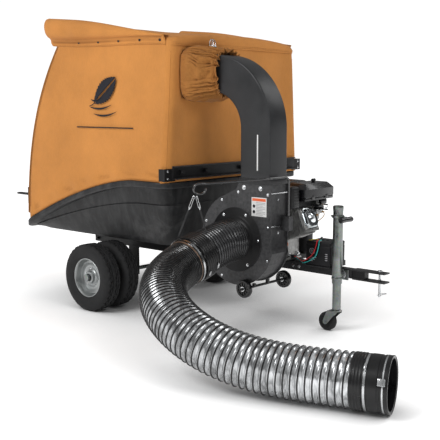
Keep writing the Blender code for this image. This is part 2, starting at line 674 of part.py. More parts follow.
def scroll_outline(grow):
    """Side view of the blower housing as (x, z) points, grown outwards all round."""
    radius = BLOWER_RADIUS + grow
    pts = []
    for k in range(15):
        angle = math.radians(112 + (346 - 112) * k / 14)
        pts.append((BLOWER.x + radius * math.cos(angle), BLOWER.z + radius * math.sin(angle)))
    right = CHUTE_X[1] + grow
    pts += [(right, 0.470), (right, BLOWER_TOP), (CHUTE_X[0] - grow, BLOWER_TOP)]
    pts.append((CHUTE_X[0] - grow - 0.02, BLOWER_TOP - 0.035))
    return pts


def blower():
    """Blower housing in three sheets, its inlet ring and the paddle impeller."""
    steel = material("black_paint", BLACK, 0.4, 0.3)
    front, back = BLOWER_FACE_Y, BLOWER_FACE_Y + BLOWER_DEPTH
    flange = 0.010
    x, z = BLOWER.x, BLOWER.z
    face = node("blower_front_plate", prism(new(), scroll_outline(flange), front, front + PLATE), steel)
    bolts = new()
    for deg, r in ((159, 0.236), (116, 0.236), (-24, 0.236), (-71, 0.236), (-116, 0.236), (202, 0.236)):
        a = math.radians(deg)
        rod(bolts, (x + r * math.cos(a), front - 0.005, z + r * math.sin(a)),
            (x + r * math.cos(a), front + 0.001, z + r * math.sin(a)), 0.006, 6)
    for bx, bz in ((1.148, 0.584), (1.148, 0.760), (0.944, 0.763)):
        rod(bolts, (bx, front - 0.005, bz), (bx, front + 0.001, bz), 0.006, 6)
    for bx in (0.985, 1.099):
        rod(bolts, (bx, front - 0.007, 0.790), (bx, front + 0.001, 0.790), 0.010, 8)
    fuse(face, bolts)
    cut(face, rod(new(), (x, front - 0.02, z), (x, front + 0.02, z), 0.101, 24))

    band = new()
    rings = []
    for grow, y in ((0.0, front + PLATE + GAP), (0.0, back - PLATE - GAP), (-PLATE, back - PLATE - GAP),
                    (-PLATE, front + PLATE + GAP)):
        rings.append(ring_verts(band, [(px, y, pz) for px, pz in scroll_outline(grow)]))
    skin(band, rings, caps=False, closed=True)
    scroll = node("blower_scroll", band, steel)
    fuse(scroll, box(new(), (CHUTE_X[1] - 0.002, BOOM.y - 0.018, 0.562), (BOOM.x + 0.016, BOOM.y + 0.018, 0.640)))
    openings = box(new(), (CHUTE_X[0] + 0.002, front - 0.01, BLOWER_TOP - 0.02),
                   (CHUTE_X[1] - 0.006, back + 0.01, BLOWER_TOP + 0.02))
    rod(openings, (BOOM.x, BOOM.y, 0.580), (BOOM.x, BOOM.y, 0.70), BOOM_RADIUS + 0.0012, 12)
    cut(scroll, openings)
    rear = node("blower_back_plate", prism(new(), scroll_outline(flange), back - PLATE, back), steel)
    cut(rear, rod(new(), (x, back - 0.02, z), (x, back + 0.02, z), 0.030, 16))

    neck = 0.099
    profile = [(neck - 0.003, -0.078), (neck, -0.078), (neck, -0.020), (0.122, -0.006), (RING_RADIUS, -0.005),
               (RING_RADIUS, 0.0), (neck - 0.003, 0.0)]
    ring = node("inlet_ring", turned(new(), profile, (x, front - GAP, z), (0, 1, 0), 24), steel)
    heads = new()
    for k in range(6):
        a = math.radians(60 * k + 3)
        rod(heads, (x + 0.150 * math.cos(a), front - 0.012, z + 0.150 * math.sin(a)),
            (x + 0.150 * math.cos(a), front - 0.002, z + 0.150 * math.sin(a)), 0.006, 6)
    fuse(ring, heads)
    impeller(front, back)


def impeller(front, back):
    """Six flat paddles on a back disc and a hub that the engine shaft carries."""
    centre = Vector((BLOWER.x, 0, BLOWER.z))
    disc_y = back - PLATE - 0.012
    wheel = node("impeller", rod(new(), centre + Vector((0, disc_y, 0)), centre + Vector((0, disc_y + 0.006, 0)),
                                 0.188, 24), material("impeller_steel", (0.20, 0.20, 0.21, 1), 0.45, 1.0), centre)
    paddles = new()
    for k in range(6):
        turn = Matrix.Translation(centre) @ Matrix.Rotation(math.tau * k / 6, 4, "Y")
        box(paddles, (0.035, disc_y - 0.094, -0.004), (0.198, disc_y + 0.004, 0.004), turn)
    rod(paddles, centre + Vector((0, disc_y - 0.098, 0)), centre + Vector((0, disc_y + 0.005, 0)), 0.042, 12)
    rod(paddles, centre + Vector((0, disc_y + 0.002, 0)), centre + Vector((0, back + 0.022, 0)), SHAFT_RADIUS, 12)
    fuse(wheel, paddles)


def chute():
    """Rectangular discharge duct: a straight riser and a quarter bend towards the hood."""
    left, right = BLOWER_FACE_Y, BLOWER_FACE_Y + BLOWER_DEPTH
    bend_inner, bend_outer = CHUTE_X[0] - CHUTE_BEND_X, CHUTE_X[1] - CHUTE_BEND_X
    low = BLOWER_TOP + GAP
    bm = new()
    rings = []
    for inset in (0.0, CHUTE_WALL):
        sections = [(CHUTE_X[0] + inset, low, CHUTE_X[1] - inset, low),
                    (CHUTE_X[0] + inset, 0.96, CHUTE_X[1] - inset, 0.96)]
        for k in range(8):
            a = math.radians(90 * k / 7)
            ri, ro = bend_inner + inset, bend_outer - inset
            sections.append((CHUTE_BEND_X + ri * math.cos(a), CHUTE_BEND_Z + ri * math.sin(a),
                             CHUTE_BEND_X + ro * math.cos(a), CHUTE_BEND_Z + ro * math.sin(a)))
        layer = [ring_verts(bm, [(xi, left + inset, zi), (xi, right - inset, zi), (xo, right - inset, zo),
                                 (xo, left + inset, zo)]) for xi, zi, xo, zo in sections]
        rings.append(layer)
    skin(bm, rings[0] + rings[1][::-1], caps=False, closed=True)
    duct = node("chute", bm, material("chute_paint", (0.040, 0.042, 0.046, 1), 0.45, 0.2))
    skirt = box(new(), (CHUTE_X[0] - 0.010, left - 0.004, low), (CHUTE_X[1] + 0.010, left + 0.002, low + 0.030))
    box(skirt, (CHUTE_X[1] - 0.002, left - 0.003, low), (CHUTE_X[1] + 0.0105, right + 0.003, low + 0.029))
    box(skirt, (CHUTE_X[0] - 0.0095, left - 0.003, low), (CHUTE_X[0] + 0.002, right + 0.003, low + 0.029))
    fuse(duct, skirt)


def stand():
    """Transport wheels under the blower, on a cross rod held by two struts."""
    steel = material("black_paint", BLACK, 0.4, 0.3)
    x, z = STAND_AXLE.x, STAND_AXLE.z
    under = BLOWER.z - math.sqrt((BLOWER_RADIUS + 0.010) ** 2 - (x - BLOWER.x) ** 2) - 0.004
    axle_rod = node("stand_axle", rod(new(), (x, -0.430, z), (x, -0.020, z), 0.0075, 10), steel)
    struts = box(new(), (x - 0.008, -0.325, z - 0.004), (x + 0.008, -0.309, under))
    box(struts, (x - 0.008, -0.205, z - 0.004), (x + 0.008, -0.189, RAIL_BOTTOM - GAP))
    fuse(axle_rod, struts)
    wheel = [(0.0086, -0.016), (0.022, -0.016), (0.024, -0.013), (0.044, -0.013),
             (STAND_WHEEL_RADIUS, -0.009), (STAND_WHEEL_RADIUS, 0.009), (0.044, 0.013), (0.024, 0.013),
             (0.022, 0.016), (0.0086, 0.016)]
    for side, y in (("right", -0.402), ("left", -0.048)):
        bm = turned(new(), wheel, (x, y, z), (0, 1, 0), 20)
        node(f"stand_wheel_{side}", bm, material("black_plastic", BLACK, 0.5), (x, y, z))


# ---------------------------------------------------------------- engine and battery

def engine():
    """Single-cylinder horizontal-shaft engine, head leaning forward, on a base plate over the tongue."""
    steel = material("black_paint", BLACK, 0.4, 0.3)
    plastic = material("black_plastic", BLACK, 0.5)
    cast = material("cast_aluminium", (0.55, 0.56, 0.57, 1), 0.5, 1.0)
    x, z = BLOWER.x, BLOWER.z
    back = BLOWER_FACE_Y + BLOWER_DEPTH
    base_z = RAIL_BOTTOM
    plate = node("engine_base", box(new(), (0.78, back + 0.006, base_z), (1.060, 0.180, base_z + BASE_PLATE)), steel)
    extra = box(new(), (0.84, back + GAP, base_z + 0.001), (1.02, back + 0.0065, base_z + 0.055))
    box(extra, (1.050, -0.022, base_z + 0.0005), (1.190, 0.040, base_z + 0.0055))
    battery_tray(extra)
    fuse(plate, extra)

    floor = base_z + BASE_PLATE + GAP
    case = node("engine_crankcase", rounded_box(new(), (0.812, back + 0.028, floor), (1.050, 0.060, 0.632), 0.022),
                cast)
    lean = Matrix.Translation((x, -0.040, z)) @ Matrix.Rotation(-ENGINE_TILT, 4, "Y")
    barrel = box(new(), (0.06, -0.066, -0.066), (0.2300, 0.066, 0.066), lean)
    for k in range(4):
        along = 0.150 + 0.021 * k
        box(barrel, (along, -0.078, -0.078), (along + 0.006, 0.078, 0.078), lean)
    fuse(case, barrel)
    cut(case, rod(new(), (x, back, z), (x, back + 0.06, z), 0.022, 12))
    boolean(case, rounded_box(new(), (0.228, -0.072, -0.072), (0.268, 0.072, 0.072), 0.008, lean, 1), "UNION",
            "cylinder_head_add")
    cover = node("valve_cover", rounded_box(new(), (0.2685, -0.056, -0.060), (0.292, 0.056, 0.060), 0.010, lean, 2),
                 material("zinc_steel", STEEL, 0.35, 1.0))
    fuse(cover, rod(new(), lean @ Vector((0.285, 0, 0)), lean @ Vector((0.303, 0, 0)), 0.036, 18))

    fan_y = 0.0605
    fan = node("fan_housing", rounded_box(new(), (0.800, fan_y, 0.370), (1.085, 0.150, 0.655), 0.030), plastic)
    starter = [(0.105, 0.145), (0.105, 0.168), (0.085, 0.182), (0.030, 0.186)]
    fuse(fan, solid_of_revolution(new(), starter, (x, 0, z), (0, 1, 0), 20))
    grip = rounded_box(new(), (x + 0.118, 0.164, z + 0.088), (x + 0.146, 0.186, z + 0.106), 0.005, segments=1)
    node("recoil_grip", grip, plastic, (x + 0.132, 0.175, z + 0.097))

    tank = rounded_box(new(), (0.800, -0.195, 0.6595), (1.042, 0.165, 0.800), 0.028)
    node("fuel_tank", tank, plastic)
    cap = [(0.034, 0.0), (0.034, 0.022), (0.027, 0.028)]
    centre = (0.905, 0.020, 0.800 + GAP)
    node("fuel_cap", solid_of_revolution(new(), cap, centre, (0, 0, 1), 14), plastic, centre)

    air_low, air_high = Vector((1.062, -0.120, 0.705)), Vector((1.205, 0.160, 0.800))
    node("air_cleaner", rounded_box(new(), air_low, air_high, 0.018), plastic)
    knob_at = (1.130, 0.060, air_high.z + GAP)
    knob = node("air_cleaner_knob", rod(new(), knob_at, Vector(knob_at) + Vector((0, 0, 0.016)), 0.010, 10), plastic,
                knob_at)
    fuse(knob, box(new(), (1.126, 0.038, knob_at[2] + 0.005), (1.134, 0.082, knob_at[2] + 0.019)))

    muffler = rounded_box(new(), (1.055, -0.208, 0.668), (1.180, -0.132, 0.790), 0.014)
    node("muffler", muffler, steel)
    carb = node("carburettor", rounded_box(new(), (1.100, 0.050, 0.618), (1.165, 0.112, 0.702), 0.006, segments=1), cast)
    fuse(carb, rod(new(), (1.132, 0.080, 0.585), (1.132, 0.080, 0.620), 0.024, 12))
    for name, height in (("choke_lever", 0.668), ("throttle_lever", 0.640)):
        at = Vector((1.150, 0.112 + GAP, height))
        lever = node(name, rod(new(), at, at + Vector((0, 0.010, 0)), 0.008, 10), plastic, at)
        fuse(lever, box(new(), at + Vector((0.0, 0.002, -0.003)), at + Vector((0.042, 0.008, 0.003))))
    dip = (1.056, -0.115, 0.455)
    stick = [(0.015, 0.0), (0.017, 0.006), (0.017, 0.018), (0.012, 0.024)]
    node("oil_dipstick", solid_of_revolution(new(), stick, dip, (1, 0, 0), 12),
         material("orange_plastic", (0.85, 0.20, 0.02, 1), 0.45), dip)


def battery_tray(bm):
    """Floor and end lips of the battery tray, added to the engine base."""
    low, high = BATTERY_LOW, BATTERY_HIGH
    tray_z = RAIL_BOTTOM
    box(bm, (low.x - 0.004, low.y - 0.004, tray_z + 0.0002), (high.x + 0.004, high.y + 0.004, tray_z + 0.006))
    for x in (low.x - 0.0035, high.x + 0.001):
        box(bm, (x, low.y - 0.003, tray_z + 0.001), (x + 0.0025, high.y + 0.003, tray_z + 0.030))


def battery():
    """Starter battery on the tongue, and its two leads with the plug that joins them."""
    low, high = BATTERY_LOW, BATTERY_HIGH
    case = node("battery", rounded_box(new(), low, high, 0.005, segments=1), material("black_plastic", BLACK, 0.5))
    posts = rod(new(), (1.270, -0.060, high.z - 0.002), (1.270, -0.060, high.z + 0.010), 0.007, 8)
    rod(posts, (1.215, 0.030, high.z - 0.002), (1.215, 0.030, high.z + 0.010), 0.007, 8)
    fuse(case, posts)
    y = low.y - 0.009
    red = [(1.270, -0.0715, high.z + 0.010), (1.270, y + 0.002, high.z + 0.008), (1.266, y - 0.001, 0.470),
           (1.245, y, 0.420), (1.205, y, 0.385), (1.176, y + 0.004, 0.371), (1.150, -0.072, 0.366),
           (1.120, -0.050, 0.368), (1.095, -0.044, 0.376), (1.070, -0.046, 0.379)]
    teal = [(1.284, -0.0715, high.z + 0.010), (1.284, y + 0.002, high.z + 0.008), (1.282, y - 0.001, 0.466),
            (1.262, y, 0.408), (1.215, y, 0.374), (1.178, y + 0.006, 0.360), (1.150, -0.064, 0.356),
            (1.120, -0.042, 0.359), (1.095, -0.034, 0.366), (1.070, -0.035, 0.370)]
    leads = node("battery_leads", box(new(), (1.0635, -0.056, 0.364), (1.080, -0.026, 0.386)),
                 material("lead_red", (0.60, 0.02, 0.02, 1), 0.5))
    wires = swept_rod(new(), smooth_route(red, 0.022), 0.0022, 6)
    swept_rod(wires, smooth_route(teal, 0.022), 0.0022, 6)
    fuse(leads, wires)


# ---------------------------------------------------------------- hose and boom

HOSE_ROUTE = [
    (0.930, -0.410, 0.500), (0.930, -0.500, 0.494), (0.926, -0.600, 0.470), (0.921, -0.700, 0.443),
    (0.925, -0.800, 0.415), (0.950, -0.905, 0.388), (1.005, -1.010, 0.358), (1.090, -1.105, 0.322),
    (1.200, -1.175, 0.280), (1.330, -1.212, 0.233), (1.470, -1.215, 0.188), (1.610, -1.190, 0.153),
    (1.750, -1.150, 0.131), (1.890, -1.105, 0.1225), (2.030, -1.058, 0.1215), (2.160, -1.013, 0.1215),
]


def hose():
    """Suction hose in two runs joined by a coupling, with the nozzle collar on its end."""
    clear = material("hose_clear", (0.25, 0.26, 0.27, 1), 0.3)
    rubber = material("coupling_rubber", RUBBER, 0.6)
    path = smooth_route(HOSE_ROUTE, 0.070)
    inner = HOSE_RADIUS - HOSE_WALL
    joint = min(range(len(path)), key=lambda i: abs(path[i].y - COUPLING_Y))
    along = (path[joint + 1] - path[joint - 1]).normalized()
    upper = path[:joint] + [path[joint] - along * 0.008, path[joint] - along * 0.001]
    lower = [path[joint] + along * 0.001, path[joint] + along * 0.008] + path[joint + 1:]
    node("hose_upper", swept_pipe(new(), upper, HOSE_RADIUS, inner), clear)
    node("hose_lower", swept_pipe(new(), lower, HOSE_RADIUS, inner), clear)
    cuff = [path[joint] + along * step for step in (-0.045, 0.0, 0.045)]
    node("hose_coupling", swept_pipe(new(), cuff, HOSE_RADIUS + 0.0100, HOSE_RADIUS + 0.0060), rubber)
    ahead = (path[-1] - path[-2]).normalized()
    start = path[-1] + ahead * 0.001
    profile = [(inner, 0.0), (HOSE_RADIUS + 0.001, 0.0), (HOSE_RADIUS + 0.001, 0.105), (inner, 0.105)]
    node("hose_nozzle", turned(new(), profile, start, ahead, 24), rubber)


def boom():
    """Bent-rod hose boom, and the two straps that hang the hose from it."""
    steel = material("black_paint", BLACK, 0.4, 0.3)
    x, y = BOOM.x, BOOM.y
    top = 0.850
    loop = Vector((0.945, -0.690, 0.824))
    route = [(x, y, 0.585), (x, y, 0.700), (x, y, top - 0.030), (x - 0.002, y - 0.010, top - 0.006),
             (x - 0.006, y - 0.035, top), (x - 0.012, y - 0.130, top), (x - 0.030, y - 0.180, top - 0.001)]
    path = [Vector(p) for p in route] + [loop + Vector((0.045, 0.060, 0.006))]
    across = Vector((-0.60, -0.80, 0)).normalized()
    for k in range(9):
        a = math.radians(80 + 250 * k / 8)
        path.append(loop + across * 0.032 * math.sin(a - math.pi / 2) + Vector((0, 0, 0.022 * math.cos(a - math.pi / 2) - 0.018)))
    node("hose_boom", swept_rod(new(), path, BOOM_RADIUS, 8), steel, (x, y, 0.70))
    hook_low = path[-5] + Vector((0, 0, -0.012))
    for name, foot in (("hose_strap_front", (0.985, -0.680, 0.566)), ("hose_strap_rear", (0.868, -0.770, 0.556))):
        foot = Vector(foot)
        tip = hook_low + (foot - hook_low).normalized() * 0.006 + Vector((0.006 if "front" in name else -0.006, 0, 0))
        bm = swept_rod(new(), [foot, foot.lerp(tip, 0.5), tip], 0.0045, 6)
        node(name, bm, material("strap_webbing", BLACK, 0.9))


# ---------------------------------------------------------------- assembly

def settle_on_origin():
    """Move the root empty so that the machine's box is centred over the origin, standing on Z = 0."""
    bpy.context.view_layer.update()
    graph = bpy.context.evaluated_depsgraph_get()
    corners = []
    for obj in bpy.data.objects:
        if obj.type == "MESH" and not obj.hide_render:
            shape = obj.evaluated_get(graph)
            corners += [shape.matrix_world @ Vector(c) for c in shape.bound_box]
    for axis in (0, 1):
        values = [c[axis] for c in corners]
        root.location[axis] = -(min(values) + max(values)) / 2
    root.location.z = -min(c.z for c in corners)


def main():
    global root
    clear_scene()
    root = bpy.data.objects.new("machine", None)
    bpy.context.collection.objects.link(root)
    for build in (wheels, axle, chassis, hitch, jack, tub, hood_canvas, hood_frame, rear_door, hood_hardware,
                  inlet_sleeve, blower, chute, stand, engine, battery, hose, boom):
        build()
    settle_on_origin()


main()
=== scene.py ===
"""Leaf vacuum mulcher trailer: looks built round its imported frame, laid out as a Blender add-on."""

import math

import bmesh
import bpy
from bpy.props import FloatProperty, FloatVectorProperty, IntProperty, PointerProperty
from mathutils import Matrix, Vector, noise


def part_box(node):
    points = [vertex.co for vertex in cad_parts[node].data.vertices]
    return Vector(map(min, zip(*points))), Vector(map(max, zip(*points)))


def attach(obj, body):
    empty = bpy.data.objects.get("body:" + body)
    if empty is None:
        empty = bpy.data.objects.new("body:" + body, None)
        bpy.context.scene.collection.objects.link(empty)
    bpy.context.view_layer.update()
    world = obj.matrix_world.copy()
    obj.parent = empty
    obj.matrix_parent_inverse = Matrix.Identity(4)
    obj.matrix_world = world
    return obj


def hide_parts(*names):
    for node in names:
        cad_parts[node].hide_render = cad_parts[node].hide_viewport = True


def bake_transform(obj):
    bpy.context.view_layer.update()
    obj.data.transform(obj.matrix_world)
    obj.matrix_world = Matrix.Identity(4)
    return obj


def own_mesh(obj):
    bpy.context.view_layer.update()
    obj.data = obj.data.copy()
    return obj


bl_info = {
    "name": "Leaf Vacuum Mulcher",
    "version": (1, 0, 0),
    "blender": (4, 5, 0),
    "location": "View3D > Sidebar > Mulcher",
    "description": "Builds the canvas, moulded, painted and plated surfaces of a leaf vacuum mulcher trailer",
    "category": "Object",
}

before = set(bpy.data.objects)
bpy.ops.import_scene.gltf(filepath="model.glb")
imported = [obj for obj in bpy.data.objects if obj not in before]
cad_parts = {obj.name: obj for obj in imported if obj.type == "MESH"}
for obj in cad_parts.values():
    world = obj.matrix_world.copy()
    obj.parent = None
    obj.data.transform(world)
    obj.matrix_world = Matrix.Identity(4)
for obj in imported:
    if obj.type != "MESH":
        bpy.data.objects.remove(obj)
# The view's eye in the machine's frame, in metres, and its yaw and pitch in degrees.
CAMERA_PLACE, CAMERA_YAW, CAMERA_PITCH = (3.9088, -3.9007, 1.2365), 41.34, 7.77
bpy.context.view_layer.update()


def middle(node):
    """Centre of a frame node."""
    low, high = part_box(node)
    return (low + high) / 2


# The machine's own frame stands on the ground under the axle: X forward, Y left, Z up, in metres.
MACHINE = Vector((middle("axle").x, middle("axle").y, 0.0))

BODY_FRONT = 0.618
HOOD_HEM_Y, HOOD_EAVE_Y, HOOD_CORNER = 0.612, 0.560, 0.050
TUB_FLOOR_Z, TUB_RIM_Y, TUB_REAR = 0.430, 0.622, -0.685
RIM_DEPTH = 0.036
DOOR_GAP = 0.011
DOOR_THICKNESS = 0.010
BLOWER = Vector((0.93, -0.38, 0.50))
BLOWER_BACK_Y = -0.23
BLOWER_RADIUS, BLOWER_TOP = 0.243, 0.812
CHUTE_X = (0.957, 1.160)
CHUTE_BEND = Vector((0.760, 0.0, 1.105))
ENGINE_TILT = math.radians(23)
CYLINDER_Y = -0.040
JACK = Vector((1.389, -0.0734, 0.315))
HOSE_RADIUS = 0.119
COUPLING_Y = -0.745
HOSE_ROUTE = [
    (0.930, -0.410, 0.500), (0.930, -0.500, 0.494), (0.926, -0.600, 0.470), (0.921, -0.700, 0.443),
    (0.925, -0.800, 0.415), (0.950, -0.905, 0.388), (1.005, -1.010, 0.358), (1.090, -1.105, 0.322),
    (1.200, -1.175, 0.280), (1.330, -1.212, 0.233), (1.470, -1.215, 0.188), (1.610, -1.190, 0.153),
    (1.750, -1.150, 0.131), (1.890, -1.105, 0.1225), (2.030, -1.058, 0.1215), (2.160, -1.013, 0.1215),
]
FINISH = {}


# ---------------------------------------------------------------- drawing helpers

def draw():
    """An empty drawing."""
    return bmesh.new()


def box(bm, low, high, round_off=0.0, matrix=None, segments=2):
    """Box between two corners in the machine's frame, with rounded edges."""
    low, high = Vector(low), Vector(high)
    made = bmesh.ops.create_cube(bm, size=1.0)["verts"]
    bmesh.ops.scale(bm, verts=made, vec=high - low)
    bmesh.ops.translate(bm, verts=made, vec=(low + high) / 2)
    if round_off:
        edges = list({e for v in made for e in v.link_edges})
        made = bmesh.ops.bevel(bm, geom=edges, offset=round_off, segments=segments, affect="EDGES",
            profile=0.5)["verts"]
    if matrix:
        bmesh.ops.transform(bm, verts=made, matrix=matrix)
    return bm


def lathe(bm, profile, centre, axis=(0, 1, 0), steps=48, ring=False, shape=None):
    """Turn a profile of (radius, offset) points; shape(k, i) may scale the radius of point i at step k."""
    centre, axis = Vector(centre), Vector(axis).normalized()
    side = Vector((0, 0, -1)) if abs(axis.z) < 0.9 else Vector((1, 0, 0))
    rows = []
    for k in range(steps):
        arm = Matrix.Rotation(math.tau * k / steps, 3, axis) @ side
        rows.append([bm.verts.new(centre + arm * max(r, 1e-6) * (shape(k, i) if shape else 1) + axis * a)
            for i, (r, a) in enumerate(profile)])
    count = len(profile)
    for k, row in enumerate(rows):
        after = rows[(k + 1) % steps]
        for i in range(count if ring else count - 1):
            n = (i + 1) % count
            bm.faces.new((row[i], row[n], after[n], after[i]))
    poles = [v for row in rows for v, (r, _) in zip(row, profile) if r == 0]
    if poles:
        bmesh.ops.remove_doubles(bm, verts=poles, dist=1e-5)
    return bm


def rod(bm, start, end, radius, sides=20, chamfer=0.0):
    """Round bar between two points, with chamfered ends."""
    start, end = Vector(start), Vector(end)
    length = (end - start).length
    c = min(chamfer or radius * 0.12, length / 3)
    return lathe(bm, [(0, 0), (radius - c, 0), (radius, c), (radius, length - c), (radius - c, length),
        (0, length)], start, end - start, sides)


def route(points, spacing):
    """Points of a smooth curve through a given route, about spacing apart."""
    pts = [Vector(p) for p in points]
    pts = [2 * pts[0] - pts[1]] + pts + [2 * pts[-1] - pts[-2]]
    out = []
    for a, b, c, d in zip(pts, pts[1:], pts[2:], pts[3:]):
        steps = max(1, round((c - b).length / spacing))
        out += [0.5 * (2 * b + (c - a) * t + (2 * a - 5 * b + 4 * c - d) * t * t
            + (3 * b - a - 3 * c + d) * t ** 3) for t in (k / steps for k in range(steps))]
    return out + [pts[-2]]


def frames(path):
    """Point, side and up direction along a path, carried without twist."""
    side = (path[1] - path[0]).cross(Vector((0, 0, 1)))
    side = (side if side.length > 1e-4 else Vector((1, 0, 0))).normalized()
    out = []
    for i, p in enumerate(path):
        ahead = (path[min(i + 1, len(path) - 1)] - path[max(i - 1, 0)]).normalized()
        side = (side - ahead * side.dot(ahead)).normalized()
        out.append((p, side, side.cross(ahead)))
    return out


def sweep(bm, path, radius, sides=12, caps=True):
    """Round section along a path; radius is a number or a function of (index, angle)."""
    rows = []
    for i, (p, side, up) in enumerate(frames([Vector(q) for q in path])):
        row = []
        for k in range(sides):
            a = math.tau * k / sides
            r = radius(i, a) if callable(radius) else radius
            row.append(bm.verts.new(p + r * (side * math.cos(a) + up * math.sin(a))))
        rows.append(row)
    loft(bm, rows)
    if caps:
        bm.faces.new(rows[0][::-1])
        bm.faces.new(rows[-1])
    return bm


def loft(bm, rows, closed=True):
    """Skin between rows of vertices; closed joins the ends of each row."""
    for a, b in zip(rows, rows[1:]):
        for k in range(len(a) if closed else len(a) - 1):
            n = (k + 1) % len(a)
            bm.faces.new((a[k], a[n], b[n], b[k]))


def capped_loft(bm, rows):
    """Skin between rows of vertices, with a face over each end."""
    loft(bm, rows)
    bm.faces.new(rows[0][::-1])
    bm.faces.new(rows[-1])


def grid(bm, rows):
    """Open sheet from rows of points."""
    loft(bm, [[bm.verts.new(p) for p in row] for row in rows], closed=False)
    return bm


def prism(bm, outline, low_y, high_y, round_off=0.0, segments=2):
    """Plate between two Y planes from an outline of (x, z) points, its rims rounded."""
    rows = [[bm.verts.new((x, y, z)) for x, z in outline] for y in (low_y, high_y)]
    loft(bm, rows)
    caps = [bm.faces.new(rows[0][::-1]), bm.faces.new(rows[1])]
    if round_off:
        rims = list({e for f in caps for e in f.edges})
        bmesh.ops.bevel(bm, geom=rims, offset=round_off, segments=segments, affect="EDGES", profile=0.5)
    return bm


def hex_bolt(bm, at, axis, size=0.006, height=0.005):
    """Washer and hexagon head standing on a face."""
    at, axis = Vector(at), Vector(axis).normalized()
    lathe(bm, [(0, 0), (size * 1.45, 0), (size * 1.45, height * 0.22), (0, height * 0.22)], at, axis, 20)
    lathe(bm, [(0, height * 0.2), (size, height * 0.2), (size, height * 0.85), (size * 0.82, height),
        (0, height)], at, axis, 6)
    return bm


def piece(name, bm, finish, body="root", stands_for=(), sharp=35.0, thickness=0.0, subdivide=0,
        normals=True):
    """Turn a drawing in the machine's frame into a shown piece that moves with a body."""
    bmesh.ops.translate(bm, verts=bm.verts, vec=MACHINE)
    if normals:
        bmesh.ops.recalc_face_normals(bm, faces=bm.faces)
    mesh = bpy.data.meshes.new(name)
    bm.to_mesh(mesh)
    bm.free()
    mesh.materials.append(FINISH[finish])
    mesh.shade_smooth()
    if sharp:
        mesh.set_sharp_from_angle(angle=math.radians(sharp))
    obj = bpy.data.objects.new(name, mesh)
    bpy.context.scene.collection.objects.link(obj)
    if subdivide:
        mod = obj.modifiers.new("Subdivision", "SUBSURF")
        mod.levels = mod.render_levels = subdivide
    if thickness:
        mod = obj.modifiers.new("Cloth thickness", "SOLIDIFY")
        mod.thickness, mod.offset = thickness, -1.0
    if body:
        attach(obj, body)
    if stands_for:
        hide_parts(*stands_for)
    return obj


def refinish(node, finish, edge=0.0015):
    """Give a carried-over CAD node its finish and softened edges."""
    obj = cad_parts[node]
    obj.data.materials.clear()
    obj.data.materials.append(FINISH[finish])
    weld = obj.modifiers.new("Weld", "WELD")
    weld.merge_threshold = 1e-5
    if edge:
        bevel = obj.modifiers.new("Edges", "BEVEL")
        bevel.width, bevel.segments, bevel.limit_method = edge, 2, "ANGLE"
        bevel.angle_limit = math.radians(40)


def cloth(obj):
    """Hands the sheet back unchanged."""
    return obj


# ---------------------------------------------------------------- finishes

